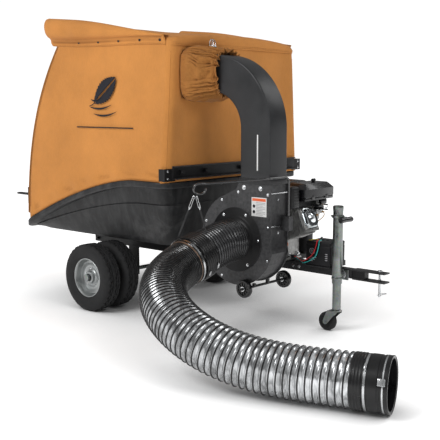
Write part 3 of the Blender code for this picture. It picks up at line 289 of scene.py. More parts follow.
class Surface:
    """One procedural material: a Principled shader and the textures that drive it."""

    def __init__(self, name, roughness=0.5, metallic=0.0, **sockets):
        self.mat = bpy.data.materials.new(name)
        self.mat.use_nodes = True
        self.nodes, self.links = self.mat.node_tree.nodes, self.mat.node_tree.links
        self.shader = self.nodes["Principled BSDF"]
        self.set(self.shader, Roughness=roughness, Metallic=metallic,
            **{k.replace("_", " "): v for k, v in sockets.items()})
        self.coords = self.nodes.new("ShaderNodeTexCoord").outputs["Object"]
        FINISH[name] = self.mat

    @staticmethod
    def set(node, **values):
        for key, value in values.items():
            node.inputs[key].default_value = value

    def join(self, source, node, socket):
        self.links.new(source, node.inputs[socket])

    def stretched(self, scale):
        node = self.nodes.new("ShaderNodeMapping")
        node.inputs["Scale"].default_value = scale
        self.join(self.coords, node, "Vector")
        return node.outputs["Vector"]

    def noise(self, scale, detail=4.0, rough=0.55, vector=None, distort=0.0):
        node = self.nodes.new("ShaderNodeTexNoise")
        self.set(node, Scale=scale, Detail=detail, Roughness=rough, Distortion=distort)
        self.join(vector or self.coords, node, "Vector")
        return node.outputs["Fac"]

    def cells(self, scale, vector=None):
        node = self.nodes.new("ShaderNodeTexVoronoi")
        self.set(node, Scale=scale)
        self.join(vector or self.coords, node, "Vector")
        return node.outputs["Distance"], node.outputs["Color"]

    def ramp(self, fac, *stops):
        node = self.nodes.new("ShaderNodeValToRGB")
        self.join(fac, node, "Fac")
        elements = node.color_ramp.elements
        while len(elements) < len(stops):
            elements.new(0.5)
        for element, (place, colour) in zip(elements, stops):
            element.position = place
            element.color = (*colour, 1) if isinstance(colour, (tuple, list)) else (colour,) * 3 + (1,)
        return node.outputs["Color"]

    def math(self, kind, a, b=None):
        node = self.nodes.new("ShaderNodeMath")
        node.operation = kind
        for index, value in enumerate((a, b)):
            if value is None:
                continue
            if isinstance(value, (int, float)):
                node.inputs[index].default_value = value
            else:
                self.links.new(value, node.inputs[index])
        return node.outputs[0]

    def mix(self, fac, a, b, blend="MIX"):
        node = self.nodes.new("ShaderNodeMix")
        node.data_type, node.blend_type = "RGBA", blend
        for socket, value in ((node.inputs[0], fac), (node.inputs[6], a), (node.inputs[7], b)):
            if isinstance(value, (int, float)):
                socket.default_value = value
            elif isinstance(value, (tuple, list)):
                socket.default_value = (*value, 1)
            else:
                self.links.new(value, socket)
        return node.outputs[2]

    def spread(self, fac, low, high):
        node = self.nodes.new("ShaderNodeMapRange")
        self.join(fac, node, "Value")
        self.set(node, **{"From Min": 0.3, "From Max": 0.7, "To Min": low, "To Max": high})
        return node.outputs["Result"]

    def colour(self, source):
        self.join(source, self.shader, "Base Color")

    def roughness(self, source):
        self.join(source, self.shader, "Roughness")

    def relief(self, height, distance, strength=1.0, under=None):
        node = self.nodes.new("ShaderNodeBump")
        self.set(node, Strength=strength, Distance=distance)
        self.join(height, node, "Height")
        if under:
            self.join(under, node, "Normal")
        self.join(node.outputs["Normal"], self.shader, "Normal")
        return node.outputs["Normal"]

    def edge_wear_and_highlight(self, colour, edge_colour, amount):
        """Lighter colour where the surface is sharply convex, broken up by noise; on the painted metal it is
        worn paint, on the tub a painted highlight.
        """
        convex = self.nodes.new("ShaderNodeNewGeometry").outputs["Pointiness"]
        where = self.ramp(convex, (0.53, 0.0), (0.62, amount))
        broken = self.math("MULTIPLY", where, self.noise(60.0))
        return self.mix(broken, colour, edge_colour)


def tint(colour, factor):
    """A colour made lighter or darker."""
    return tuple(min(1.0, c * factor) for c in colour)


def cloudy(name, colour, roughness, metallic=0.0, low=0.75, high=1.2, clouds=9.0, grain=700.0, depth=0.0001,
        spread=0.08, edge_colour=None, wear=0.5, **sockets):
    """Finish with soft clouding, fine grain, uneven gloss and optional worn edges."""
    s = Surface(name, roughness, metallic, **sockets)
    cloud, fine = s.noise(clouds, 6.0, 0.6), s.noise(grain, 3.0)
    shade = s.ramp(cloud, (0.3, tint(colour, low)), (0.7, tint(colour, high)))
    shade = s.mix(0.18, shade, s.ramp(fine, (0.35, 0.35), (0.65, 0.65)), "OVERLAY")
    if edge_colour:
        shade = s.edge_wear_and_highlight(shade, edge_colour, wear)
    s.colour(shade)
    s.roughness(s.spread(cloud, max(0.02, roughness - spread), roughness + spread))
    s.relief(fine, depth)
    return s


def canvas_finish(name, colour, creases=0.0):
    """Waxed duck: crossed threads, slubs, faint clouding, a little sheen, and painted shade darkening its
    concave creases.
    """
    s = Surface(name, 0.82, Sheen_Weight=0.06, Sheen_Roughness=0.45, Specular_IOR_Level=0.12)
    node = s.nodes.new("ShaderNodeSeparateXYZ")
    s.join(s.coords, node, "Vector")
    x, y, z = node.outputs
    threads = 2 * math.pi / 0.0016
    warp = s.math("SINE", s.math("MULTIPLY", s.math("ADD", x, y), threads))
    weft = s.math("SINE", s.math("MULTIPLY", s.math("ADD", z, s.math("MULTIPLY", y, 0.31)), threads))
    weave = s.math("MULTIPLY", warp, weft)
    slub = s.noise(1.0, 4.0, 0.6, s.stretched((420.0, 420.0, 30.0)))
    patches = s.noise(2.6, 5.0, 0.55)
    stains = s.noise(13.0, 6.0, 0.65)
    shade = s.ramp(patches, (0.32, tint(colour, 0.88)), (0.70, tint(colour, 1.12)))
    shade = s.mix(0.16, shade, s.ramp(stains, (0.3, 0.38), (0.7, 0.62)), "OVERLAY")
    shade = s.mix(0.20, shade, s.ramp(slub, (0.3, 0.35), (0.7, 0.65)), "OVERLAY")
    # Painted shade: the colour is darkened towards brown-grey where the cloth is concave, in its creases and
    # folds.
    hollow = s.nodes.new("ShaderNodeNewGeometry").outputs["Pointiness"]
    shade = s.mix(1.0, shade, s.ramp(hollow, (0.43, (0.34, 0.28, 0.24)), (0.495, (1.0, 1.0, 1.0))),
        "MULTIPLY")
    s.colour(shade)
    s.roughness(s.spread(stains, 0.74, 0.90))
    under = s.relief(slub, 0.0004, 0.5)
    if creases:
        under = s.relief(s.noise(16.0, 3.0, 0.5, distort=1.8), creases, 0.9, under)
    s.relief(weave, 0.00025, 0.6, under)
    return s


def poly_finish():
    """Rotomoulded polyethylene: near black with chalky scuffs and streaks, and a painted highlight on its
    sharp convex edges such as the rim's top.
    """
    s = Surface("tub_poly", 0.5, Specular_IOR_Level=0.30)
    cloud = s.noise(5.0, 8.0, 0.68, distort=0.6)
    streak = s.noise(1.0, 6.0, 0.62, s.stretched((22.0, 22.0, 5.0)))
    fine = s.noise(420.0, 3.0)
    shade = s.ramp(cloud, (0.36, (0.004, 0.004, 0.0045)), (0.54, (0.012, 0.012, 0.0125)),
        (0.68, (0.060, 0.060, 0.061)))
    shade = s.mix(0.45, shade, s.ramp(streak, (0.42, (0.005, 0.005, 0.0055)), (0.72, (0.050, 0.050, 0.051))))
    # Painted highlight: the sharply convex edges, above all the rim's top, are lightened to grey.
    shade = s.edge_wear_and_highlight(shade, (0.16, 0.16, 0.165), 0.9)
    s.colour(shade)
    s.roughness(s.spread(cloud, 0.40, 0.62))
    s.relief(fine, 0.0003, 0.6)


def galvanised_finish():
    """Zinc plating with a faint spangle and cloudy oxidation."""
    s = Surface("zinc_steel", 0.34, 1.0)
    _, spangle = s.cells(150.0)
    cloud = s.noise(14.0, 6.0, 0.6)
    shade = s.ramp(cloud, (0.3, (0.13, 0.145, 0.138)), (0.7, (0.27, 0.29, 0.28)))
    shade = s.mix(0.12, shade, spangle, "OVERLAY")
    s.colour(shade)
    s.roughness(s.spread(cloud, 0.24, 0.44))
    s.relief(s.noise(300.0, 3.0), 0.0001)


def hose_wall_finish(name, colour, lighter_at):
    """Clear ribbed urethane seen over its dark inside: glossy, cloudy grey, with painted reflections as
    bright and dark bands, and darker near the coupling than towards the nozzle.
    """
    s = Surface(name, 0.16, 0.60, Coat_Weight=0.8, Coat_Roughness=0.05)
    cloud = s.noise(6.0, 5.0, 0.6, distort=0.4)
    # Painted reflection: bright and dark bands stand for the lights mirrored in the hose's glossy wall.
    bands = s.noise(1.0, 5.0, 0.6, s.stretched((30.0, 30.0, 9.0)), 0.8)
    shade = s.ramp(cloud, (0.32, tint(colour, 0.35)), (0.68, tint(colour, 1.35)))
    shade = s.mix(0.55, shade, s.ramp(bands, (0.38, tint(colour, 0.12)), (0.62, tint(colour, 1.8))))
    # The wall is darker near the coupling and grows lighter towards the nozzle.
    from_cuff = s.nodes.new("ShaderNodeVectorMath")
    from_cuff.operation = "DISTANCE"
    s.join(s.coords, from_cuff, "Vector")
    from_cuff.inputs[1].default_value = MACHINE + Vector((0.923, COUPLING_Y, 0.430))
    far = s.ramp(s.math("DIVIDE", from_cuff.outputs["Value"], 1.3), (0.05, 0.16), (lighter_at, 0.75),
        (0.95, 1.35))
    s.colour(s.mix(1.0, shade, far, "MULTIPLY"))
    s.roughness(s.spread(bands, 0.10, 0.26))
    s.relief(s.noise(55.0, 4.0), 0.0012, 0.5)


def finishes(settings):
    """Every finish of the machine."""
    canvas_finish("canvas", tuple(settings.canvas_colour))
    canvas_finish("canvas_binding", tint(tuple(settings.canvas_colour), 0.66))
    # Painted shade: the sleeve's canvas is the hood's cloth darkened to 0.62 for the shadow the sleeve hangs
    # in.
    canvas_finish("canvas_sleeve_shaded", tint(tuple(settings.canvas_colour), 0.62), 0.012)
    poly_finish()
    galvanised_finish()
    hose_wall_finish("hose_wall", tuple(settings.hose_colour), 0.45)
    cloudy("hose_wall_dark", (0.075, 0.077, 0.080), 0.24, 0.3, low=0.6, high=1.3, clouds=5.0,
        Coat_Weight=0.5, Coat_Roughness=0.08)
    cloudy("rod_black", (0.016, 0.016, 0.017), 0.22, clouds=20.0, Coat_Weight=0.7, Coat_Roughness=0.12)
    grey = (0.35, 0.35, 0.36)
    cloudy("black_paint", (0.0075, 0.0075, 0.008), 0.36, grain=900.0, depth=0.00010, edge_colour=grey, wear=0.25,
        Specular_IOR_Level=0.22)
    cloudy("chute_paint", (0.020, 0.0205, 0.022), 0.40, grain=900.0, depth=0.00010, edge_colour=grey, wear=0.2,
        Specular_IOR_Level=0.35)
    cloudy("gloss_black", (0.005, 0.005, 0.006), 0.28, clouds=20.0, depth=0.00004, spread=0.06,
        Coat_Weight=0.3, Coat_Roughness=0.08, Specular_IOR_Level=0.3)
    cloudy("black_plastic", (0.0075, 0.0075, 0.0085), 0.46, grain=1400.0, depth=0.00015,
        Specular_IOR_Level=0.28)
    cloudy("tyre_rubber", (0.013, 0.013, 0.0135), 0.74, low=0.7, high=1.6, clouds=22.0, depth=0.0003,
        Specular_IOR_Level=0.28)
    cloudy("rim_silver", (0.34, 0.355, 0.355), 0.36, 0.85, low=0.8, high=1.1, clouds=16.0)
    cloudy("bright_steel", (0.55, 0.56, 0.57), 0.22, 1.0, low=0.8, high=1.1, clouds=30.0)
    cloudy("pressed_steel", (0.72, 0.76, 0.78), 0.16, 1.0, low=0.85, high=1.1, clouds=25.0, spread=0.05)
    cloudy("cast_aluminium", (0.42, 0.42, 0.41), 0.46, 0.9, low=0.6, high=1.15, clouds=40.0, grain=500.0,
        depth=0.0005)
    cloudy("brass", (0.52, 0.30, 0.10), 0.35, 1.0, clouds=40.0)
    cloudy("impeller_steel", (0.14, 0.13, 0.13), 0.5, 0.9, low=0.6, high=1.4, clouds=15.0)
    cloudy("orange_plastic", (0.80, 0.17, 0.02), 0.38, low=0.85, high=1.1)
    cloudy("lead_red", (0.62, 0.015, 0.02), 0.42, low=0.85, high=1.1)
    cloudy("lead_teal", (0.02, 0.42, 0.40), 0.42, low=0.85, high=1.1)
    cloudy("lead_yellow", (0.62, 0.52, 0.03), 0.42, low=0.85, high=1.1)
    cloudy("hose_rib", (0.006, 0.006, 0.0065), 0.30, clouds=30.0, Coat_Weight=0.25, Coat_Roughness=0.1,
        Specular_IOR_Level=0.3)
    cloudy("coupling_rubber", (0.007, 0.007, 0.0075), 0.33, clouds=18.0, Coat_Weight=0.12,
        Coat_Roughness=0.2, Specular_IOR_Level=0.28)
    cloudy("clamp_band", (0.20, 0.13, 0.09), 0.42, 0.4, low=0.6, high=1.3, clouds=30.0)
    cloudy("print_ink", (0.016, 0.016, 0.021), 0.7, clouds=60.0, Specular_IOR_Level=0.2)
    cloudy("label_white", (0.74, 0.74, 0.73), 0.4, low=0.94, high=1.04)
    cloudy("label_grey", (0.30, 0.30, 0.31), 0.5, low=0.9, high=1.1)
    cloudy("label_orange", (0.82, 0.13, 0.03), 0.4, low=0.92, high=1.06)
    s = cloudy("strap_webbing", (0.018, 0.018, 0.019), 0.7, clouds=60.0)
    s.relief(s.noise(1.0, 2.0, 0.5, s.stretched((900.0, 900.0, 220.0))), 0.0006)


# ---------------------------------------------------------------- running gear

def wheels(settings):
    """Four pneumatic tyres with a ribbed tread, on pressed steel rims."""
    radius, half = 0.203, 0.0575
    rib = settings.tread_depth
    shoulder = [(0.1185, 0.044), (0.126, 0.0485), (0.140, 0.054), (0.155, half), (0.170, half),
        (0.183, 0.0555), (0.190, 0.0515), (0.194, 0.0480), (0.1965, 0.0450)]
    crown = []
    for y in (0.041, 0.026, 0.010):
        crown += [(radius - 0.0012 if y > 0.03 else radius, y), (radius, y - 0.009),
            (radius - rib, y - 0.0105), (radius - rib, y - 0.0145)]
    one_side = shoulder + crown[:-2]
    profile = one_side + [(r, -y) for r, y in one_side[::-1]]
    profile = [(r, y) for r, y in profile if (r, abs(y)) != (0.1185, 0.044)]
    profile = [(0.1185, 0.044)] + profile + [(0.1185, -0.044)]
    blocks = 120

    def notch(k, i):
        r, y = profile[i]
        if r < radius - 0.002 or abs(y) < 0.006:
            return 1.0
        stagger = 2 if 0.012 < abs(y) < 0.030 else 0
        return 1 - rib * 0.75 / radius if (k + stagger) % 4 == 0 else 1.0

    for side, sign in (("right", -1), ("left", 1)):
        for row in ("outer", "inner"):
            centre = middle(f"rim_{row}_{side}") - MACHINE
            out = (0, sign, 0)
            body = f"wheel_{row}_{side}"
            piece(f"tyre_{row}_{side}_tread", lathe(draw(), profile, centre, out, blocks, ring=True,
                shape=notch), "tyre_rubber", body, (f"tyre_{row}_{side}",), sharp=28)
            rim(centre, out, body, f"rim_{row}_{side}")


def rim(centre, out, body, node):
    """Pressed rim: rolled flange, drop well, dished disc with a raised nut ring and hub."""
    seat = 0.1178
    profile = [(seat, 0.0430), (0.1165, 0.0440), (0.1120, 0.0432), (0.1085, 0.0385), (0.1040, 0.0300),
        (0.1020, 0.0120), (0.0980, 0.0055), (0.0900, 0.0040), (0.0800, 0.0075), (0.0690, 0.0105),
        (0.0600, 0.0100), (0.0540, 0.0060), (0.0480, 0.0060), (0.0440, 0.0110), (0.0385, 0.0125),
        (0.0350, 0.0290), (0.0330, 0.0305), (0.0240, 0.0305), (0.0220, 0.0280), (0.0134, 0.0280),
        (0.0134, -0.0290), (0.0330, -0.0290), (0.0360, -0.0260), (0.0400, -0.0080), (0.0990, -0.0080),
        (0.1050, -0.0300), (0.1100, -0.0432), (seat, -0.0430)]
    bm = lathe(draw(), profile, centre, out, 72, ring=True)
    piece(f"{node}_pressing", bm, "rim_silver", body, (node,), sharp=40)
    out = Vector(out)
    nuts = draw()
    for k in range(5):
        a = math.tau * k / 5 + 0.3
        at = centre + Vector((math.cos(a), 0, math.sin(a))) * 0.051 + out * 0.0055
        hex_bolt(nuts, at, out, 0.0052, 0.0075)
    stem = centre + Vector((0.086, 0, 0.0))
    rod(nuts, stem + out * 0.003, stem + out * 0.030 + Vector((-0.004, 0, 0)), 0.0032, 12)
    piece(f"{node}_nuts", nuts, "bright_steel", body)
    grease = lathe(draw(), [(0.0142, 0.0285), (0.0215, 0.0285), (0.0225, 0.0300), (0.0205, 0.0325),
        (0.0142, 0.0325)], centre, out, 32, ring=True)
    piece(f"{node}_seal", grease, "black_plastic", body)


def chassis():
    """Axle, tongue, frame, latch, hitch and the carried-over structural steel."""
    refinish("axle", "zinc_steel", 0.001)
    for node, edge in (("tongue", 0.0012), ("chassis_frame", 0.002), ("tub_subframe", 0.002),
            ("dump_latch", 0.001), ("hitch_clevis", 0.0015), ("engine_base", 0.0015), ("hood_frame", 0.0),
            ("front_rail", 0.0012), ("door_bar", 0.0008), ("stand_axle", 0.0008)):
        refinish(node, "black_paint", edge)
    refinish("jack_bracket", "zinc_steel", 0.001)
    x, top = 1.612, 0.3500
    bm = lathe(draw(), [(0, 0.214), (0.0060, 0.214), (0.0075, 0.217), (0.0075, top), (0.0128, top),
        (0.0130, 0.3515), (0.0130, 0.3570), (0.0118, 0.3590), (0.0060, 0.3610), (0, 0.3620)], (x, 0, 0),
        (0, 0, 1), 28)
    clip = route([(x, -0.026, 0.228), (x, 0.0, 0.228), (x, 0.030, 0.228), (x + 0.006, 0.042, 0.228),
        (x + 0.016, 0.042, 0.228), (x + 0.020, 0.032, 0.228), (x + 0.014, 0.010, 0.228),
        (x + 0.016, -0.020, 0.228)], 0.003)
    sweep(bm, clip, 0.0018, 8)
    piece("hitch_pin_and_clip", bm, "bright_steel", "hitch_pin", ("hitch_pin",))
    bolts = draw()
    for bx, bz in ((1.36, 0.321), (1.10, 0.321), (1.06, 0.321), (0.70, 0.321)):
        hex_bolt(bolts, (bx, -0.0252, bz), (0, -1, 0), 0.0075, 0.006)
    rail_bolts = draw()
    for sign in (-1, 1):
        for bz in (0.828, 0.868):
            hex_bolt(rail_bolts, (BODY_FRONT + 0.0056, sign * 0.600, bz), (1, 0, 0), 0.0055, 0.004)
    piece("tongue_bolts", bolts, "bright_steel")
    piece("rail_bolts", rail_bolts, "bright_steel", "tub_body")
    knobs = draw()

    def lobes(k, i):
        return 1.0 if i < 3 else 0.9 + 0.1 * math.cos(k * math.tau / 4.8)

    for y in (-0.50, -0.30, 0.02, 0.24, 0.43):
        at = (BODY_FRONT + 0.0225, y, 0.860)
        lathe(knobs, [(0, 0), (0.006, 0), (0.006, 0.003), (0.0135, 0.004), (0.0145, 0.006), (0.0135, 0.009),
            (0, 0.010)], at, (1, 0, 0), 24, shape=lobes)
    piece("rail_knobs", knobs, "black_plastic", "tub_body")


def jack():
    """Galvanised swivel jack with its crank, leg and trailing caster."""
    x, y, z = JACK
    steps = 48
    bm = lathe(draw(), [(0.0245, 0.27), (0.0268, 0.27), (0.0275, 0.2715), (0.0275, 0.6655),
        (0.0283, 0.6690), (0.0290, 0.6840), (0.0290, 0.6890), (0.0278, 0.6935), (0.0245, 0.6950),
        (0.0, 0.6950), (0.0, 0.6880), (0.0245, 0.6880)], (x, y, 0), (0, 0, 1), steps, ring=True)
    lathe(bm, [(0, 0), (0.0205, 0), (0.0210, 0.0008), (0.0210, 0.0150), (0, 0.0150)], (x, -0.0384, z),
        (0, -1, 0), 40)
    lathe(bm, [(0.0278, -0.006), (0.0295, -0.006), (0.0305, -0.004), (0.0305, 0.004), (0.0295, 0.006),
        (0.0278, 0.006)], (x, y, 0.30), (0, 0, 1), steps, ring=True)
    piece("jack_outer_tube", bm, "zinc_steel", "jack_body", ("jack_tube",))
    pivot, tongue_side = draw(), -0.0256
    hex_bolt(pivot, (x, tongue_side - 0.012, z + 0.0001), (0, -1, 0), 0.001, 0.0004)
    lathe(pivot, [(0, 0), (0.030, 0), (0.030, 0.0035), (0.027, 0.005), (0.012, 0.006), (0, 0.006)],
        (x, tongue_side - 0.0066, z), (0, -1, 0), 40)
    piece("jack_swivel_washer", pivot, "bright_steel")
    cz = 0.637
    bm = lathe(draw(), [(0.0283, -0.007), (0.0330, -0.007), (0.0345, -0.0055), (0.0345, 0.0045),
        (0.0330, 0.006), (0.0283, 0.006)], (x, y, cz), (0, 0, 1), steps, ring=True)
    box(bm, (x + 0.032, y - 0.008, cz - 0.006), (x + 0.056, y + 0.008, cz + 0.002), 0.0015)
    box(bm, (x - 0.046, y - 0.005, cz - 0.004), (x - 0.033, y + 0.005, cz + 0.003), 0.0015)
    piece("jack_crank_collar", bm, "zinc_steel", "jack_crank", ("jack_crank",))
    grip = [(0, -0.058), (0.0088, -0.058), (0.0112, -0.0545), (0.0115, -0.048), (0.0105, -0.020),
        (0.0105, 0.010), (0.0115, 0.040), (0.0112, 0.0475), (0.0088, 0.050), (0, 0.050)]
    thicker = 1.3
    piece("jack_crank_grip", lathe(draw(), [(r * thicker, s) for r, s in grip],
        (x + 0.050, y + 0.004, cz - 0.015), (0, 1, 0), 28), "gloss_black", "jack_crank")
    leg = [(0.018, 0.126), (0.0225, 0.126), (0.0236, 0.128), (0.0236, 0.50), (0.018, 0.50)]
    bm = lathe(draw(), leg, (x, y, 0), (0, 0, 1), steps, ring=True)
    piece("jack_inner_leg", bm, "zinc_steel", "jack_leg", ("jack_leg",))
    caster(x, y)


def caster(x, y):
    """Trailing fork under the jack's leg and its solid wheel."""
    wheel = Vector((x - 0.055, y, 0.0525))
    bm = lathe(draw(), [(0, 0.1140), (0.024, 0.1140), (0.029, 0.1155), (0.029, 0.1200), (0.026, 0.1225),
        (0.022, 0.1250), (0.0, 0.1255)], (x, y, 0), (0, 0, 1), 40)
    box(bm, (x - 0.043, y - 0.0285, 0.1135), (x + 0.020, y + 0.0285, 0.1165), 0.001)
    for sign in (-1, 1):
        a, b = sorted((y + sign * 0.0285, y + sign * 0.0255))
        outline = [(x + 0.020, 0.1155), (x - 0.040, 0.1155), (x - 0.050, 0.104),
            (wheel.x - 0.015, wheel.z + 0.004)]
        outline += [(wheel.x + 0.015 * math.cos(t), wheel.z + 0.015 * math.sin(t))
            for t in (math.radians(200 + 20 * k) for k in range(8))]
        outline += [(x - 0.006, 0.088), (x + 0.016, 0.104)]
        prism(bm, outline, a, b, 0.0006)
    rod(bm, wheel + Vector((0, -0.0335, 0)), wheel + Vector((0, 0.0335, 0)), 0.0055, 20)
    hex_bolt(bm, wheel + Vector((0, -0.0290, 0)), (0, -1, 0), 0.0075, 0.004)
    hex_bolt(bm, wheel + Vector((0, 0.0290, 0)), (0, 1, 0), 0.0075, 0.004)
    piece("caster_fork_pressing", bm, "zinc_steel", "caster_fork", ("caster_fork",))
    tyre = [(0.0064, -0.0195), (0.0165, -0.0195), (0.0180, -0.0170), (0.0200, -0.0120), (0.0350, -0.0120),
        (0.0380, -0.0165), (0.0450, -0.0170), (0.0500, -0.0145), (0.0520, -0.0095)]
    profile = tyre + [(r, -o) for r, o in tyre[::-1]]
    piece("caster_wheel_moulding", lathe(draw(), profile, wheel, (0, 1, 0), 64, ring=True), "tyre_rubber",
        "caster_wheel", ("caster_wheel",))


def stand():
    """Two small transport wheels under the blower."""
    hub = (1.007, 0.238)
    for side, y in (("right", -0.402), ("left", -0.048)):
        centre = Vector((hub[0], y, hub[1]))
        half = [(0.0086, 0.0155), (0.0130, 0.0155), (0.0140, 0.0130), (0.0160, 0.0080), (0.0330, 0.0070),
            (0.0360, 0.0120), (0.0430, 0.0135), (0.0480, 0.0115), (0.0500, 0.0075)]
        profile = [(r, -o) for r, o in half] + half[::-1]
        bm = lathe(draw(), profile, centre, (0, 1, 0), 64, ring=True)
        for k in range(10):
            turn = Matrix.Translation(centre) @ Matrix.Rotation(math.tau * k / 10, 4, "Y")
            box(bm, (0.013, -0.0118, -0.0018), (0.037, 0.0118, 0.0018), 0.0008, turn)
        body = f"stand_wheel_{side}"
        piece(f"{body}_moulding", bm, "gloss_black", body, (body,))
        ring = lathe(draw(), [(0.0088, 0), (0.0135, 0), (0.0140, 0.0008), (0.0135, 0.0018),
            (0.0088, 0.0018)], centre - Vector((0, 0.0156, 0)), (0, -1, 0), 32, ring=True)
        piece(f"{body}_hub_ring", ring, "bright_steel", body)


# ---------------------------------------------------------------- tub

def rim_height(x):
    """Height of the tub's rim: level in front, falling in a curve to the low rear lip."""
    return 0.806 - 0.300 * max(0.0, (0.36 - x) / 0.98) ** 1.55


def plan_loop(rear, front, half, corner, height, count=30, turn=6):
    """Rounded rectangle in plan, counter-clockwise from the right rear; height is a function of x."""
    pts = [(rear + corner + (front - rear - 2 * corner) * k / count, -half) for k in range(count + 1)]
    for k in range(1, turn + 1):
        a = math.pi / 2 * k / turn
        pts.append((front - corner + corner * math.sin(a), -half + corner * (1 - math.cos(a))))
    pts += [(front, -half + corner + (half - corner) * k / 8) for k in range(1, 8)]
    pts += [(x, -y) for x, y in pts[::-1]]
    for k in range(1, turn + 1):
        a = math.pi / 2 * k / turn
        pts.append((rear + corner - corner * math.sin(a), half - corner * (1 - math.cos(a))))
    back = [(rear, half - corner - (half - corner) * 2 * k / 12) for k in range(1, 12)]
    pts += back
    for k in range(turn, 0, -1):
        a = math.pi / 2 * k / turn
        pts.append((rear + corner - corner * math.sin(a), -half + corner * (1 - math.cos(a))))
    return [Vector((x, y, height(x))) for x, y in pts]


def tub_level(share, inset=0.0):
    """One loop of the outside at a share of the height from the floor to under the rim."""
    stops = ((0.0, 0.055, 0.090, 0.142), (0.04, 0.045, 0.077, 0.131), (0.55, 0.012, 0.040, 0.075),
        (0.80, 0.011, 0.030, 0.056), (1.0, 0.010, 0.022, 0.042))
    for (a, r0, f0, y0), (b, r1, f1, y1) in zip(stops, stops[1:]):
        if share <= b:
            t = (share - a) / (b - a)
            rear, front, side = r0 + (r1 - r0) * t, f0 + (f1 - f0) * t, y0 + (y1 - y0) * t
            break

    def height(x):
        return TUB_FLOOR_Z + share * (rim_height(x) - RIM_DEPTH - TUB_FLOOR_Z)

    return plan_loop(TUB_REAR + rear + inset, BODY_FRONT - front - inset, TUB_RIM_Y - side - inset, 0.08,
        height)


def tub():
    """Moulded tub: crowned walls with a step line under a rolled rim band, its edges lightened by the painted
    highlight of the tub's finish.
    """
    bm = draw()
    loops = [tub_level(s) for s in (0.0, 0.015, 0.04, 0.12, 0.22, 0.34, 0.46, 0.55, 0.63, 0.70)]
    loops.append([p + Vector((0, 0, 0.002)) for p in tub_level(0.712, 0.007)])
    loops += [tub_level(s, 0.007) for s in (0.78, 0.86, 0.94, 1.0)]

    def at(drop):
        return lambda x: rim_height(x) - drop

    def above_floor(share):
        return lambda x: TUB_FLOOR_Z + 0.008 + share * (rim_height(x) - RIM_DEPTH - TUB_FLOOR_Z)

    for grow, drop in ((0.004, RIM_DEPTH), (0.0, RIM_DEPTH - 0.004), (0.0, 0.024), (0.0, 0.012),
            (0.0, 0.005), (0.003, 0.0015), (0.008, 0.0002)):
        loops.append(plan_loop(TUB_REAR + grow, BODY_FRONT - grow, TUB_RIM_Y - grow, 0.08, at(drop)))
    for rear, front, side, drop in ((0.034, 0.050, 0.056, 0.0002), (0.036, 0.053, 0.060, 0.004),
            (0.037, 0.055, 0.062, RIM_DEPTH)):
        loops.append(plan_loop(TUB_REAR + rear, BODY_FRONT - front, TUB_RIM_Y - side, 0.07, at(drop)))
    for share, rear, front, side in ((0.55, 0.030, 0.054, 0.086), (0.06, 0.062, 0.090, 0.144)):
        loops.append(plan_loop(TUB_REAR + rear, BODY_FRONT - front, TUB_RIM_Y - side, 0.07,
            above_floor(share)))
    rows = [[bm.verts.new(p) for p in loop] for loop in loops]
    capped_loft(bm, rows)
    for v in bm.verts:
        dent = noise.noise(v.co * 2.3) * 0.0022 + noise.noise(v.co * 7.0) * 0.0008
        inward = Vector((-v.co.x, -v.co.y, 0)).normalized()
        v.co += inward * abs(dent)
    piece("tub_moulding", bm, "tub_poly", "tub_body", ("tub",), sharp=50)


# ---------------------------------------------------------------- hood

def rear_edge_x(z):
    """Side view of the hood's rear edge: upright near the tub, raked forward towards the roof."""
    return -0.622 + 0.350 * max(0.0, (z - 0.55) / 1.13) ** 2.6


def eave_z(x):
    """Height of the roof's side edge, rising to the rear."""
    return 1.600 + 0.104 * (max(0.0, BODY_FRONT - x) / 0.98) ** 0.85


HEM_RISE = 0.0015
LOW_REAR = rim_height(rear_edge_x(0.5)) + HEM_RISE
TOP_REAR = eave_z(rear_edge_x(1.68))
LOW_FRONT, TOP_FRONT = rim_height(BODY_FRONT) + HEM_RISE, eave_z(BODY_FRONT)


def side_point(u, t):
    """(x, z) on the hood's side: u from the rear edge to the front, t from the hem to the eave."""
    z_rear = LOW_REAR + (TOP_REAR - LOW_REAR) * t
    z_front = LOW_FRONT + (TOP_FRONT - LOW_FRONT) * t
    x = rear_edge_x(z_rear) * (1 - u) + BODY_FRONT * u
    hem = rim_height(x) + HEM_RISE - LOW_REAR * (1 - u) - LOW_FRONT * u
    eave = eave_z(x) - TOP_REAR * (1 - u) - TOP_FRONT * u
    inside = min(1.0, u * 12, (1 - u) * 12)
    return x, z_rear * (1 - u) + z_front * u + (hem * (1 - t) + eave * t) * inside


def side_y(x, z):
    """Half width of the hood at a point on its side."""
    low, high = rim_height(x), eave_z(x)
    return HOOD_HEM_Y + (HOOD_EAVE_Y - HOOD_HEM_Y) * (z - low) / (high - low)


def smooth(a, b, v):
    """Smooth step from 0 at a to 1 at b."""
    t = max(0.0, min(1.0, (v - a) / (b - a)))
    return t * t * (3 - 2 * t)


def slack(settings, p, u, t, front):
    """How far the cloth stands in or out from its drawn surface."""
    hollow = -0.006 * math.sin(math.pi * min(1, max(0, u))) * math.sin(math.pi * t)
    soft = 0.004 * noise.noise(Vector((p.x * 2.1, p.y * 2.1, p.z * 1.3 + 4)))
    if front:
        soft += 0.007 * noise.noise(Vector((7.3, p.y * 4.5, p.z * 0.9))) * smooth(0.0, 0.25, t)
        hollow = -0.004 * math.sin(math.pi * t)
    drape = settings.hem_wrinkle * math.exp(-((t - 0.045) / 0.032) ** 2)
    folds = noise.noise(Vector((p.x * 7.0 + p.z * 5.0, p.y * 7.0, p.z * 9.0)))
    folds += 0.5 * math.sin(p.x * 27 + p.z * 33)
    return min(0.004, hollow + soft) + (0.0 if front else drape * max(-0.6, folds))


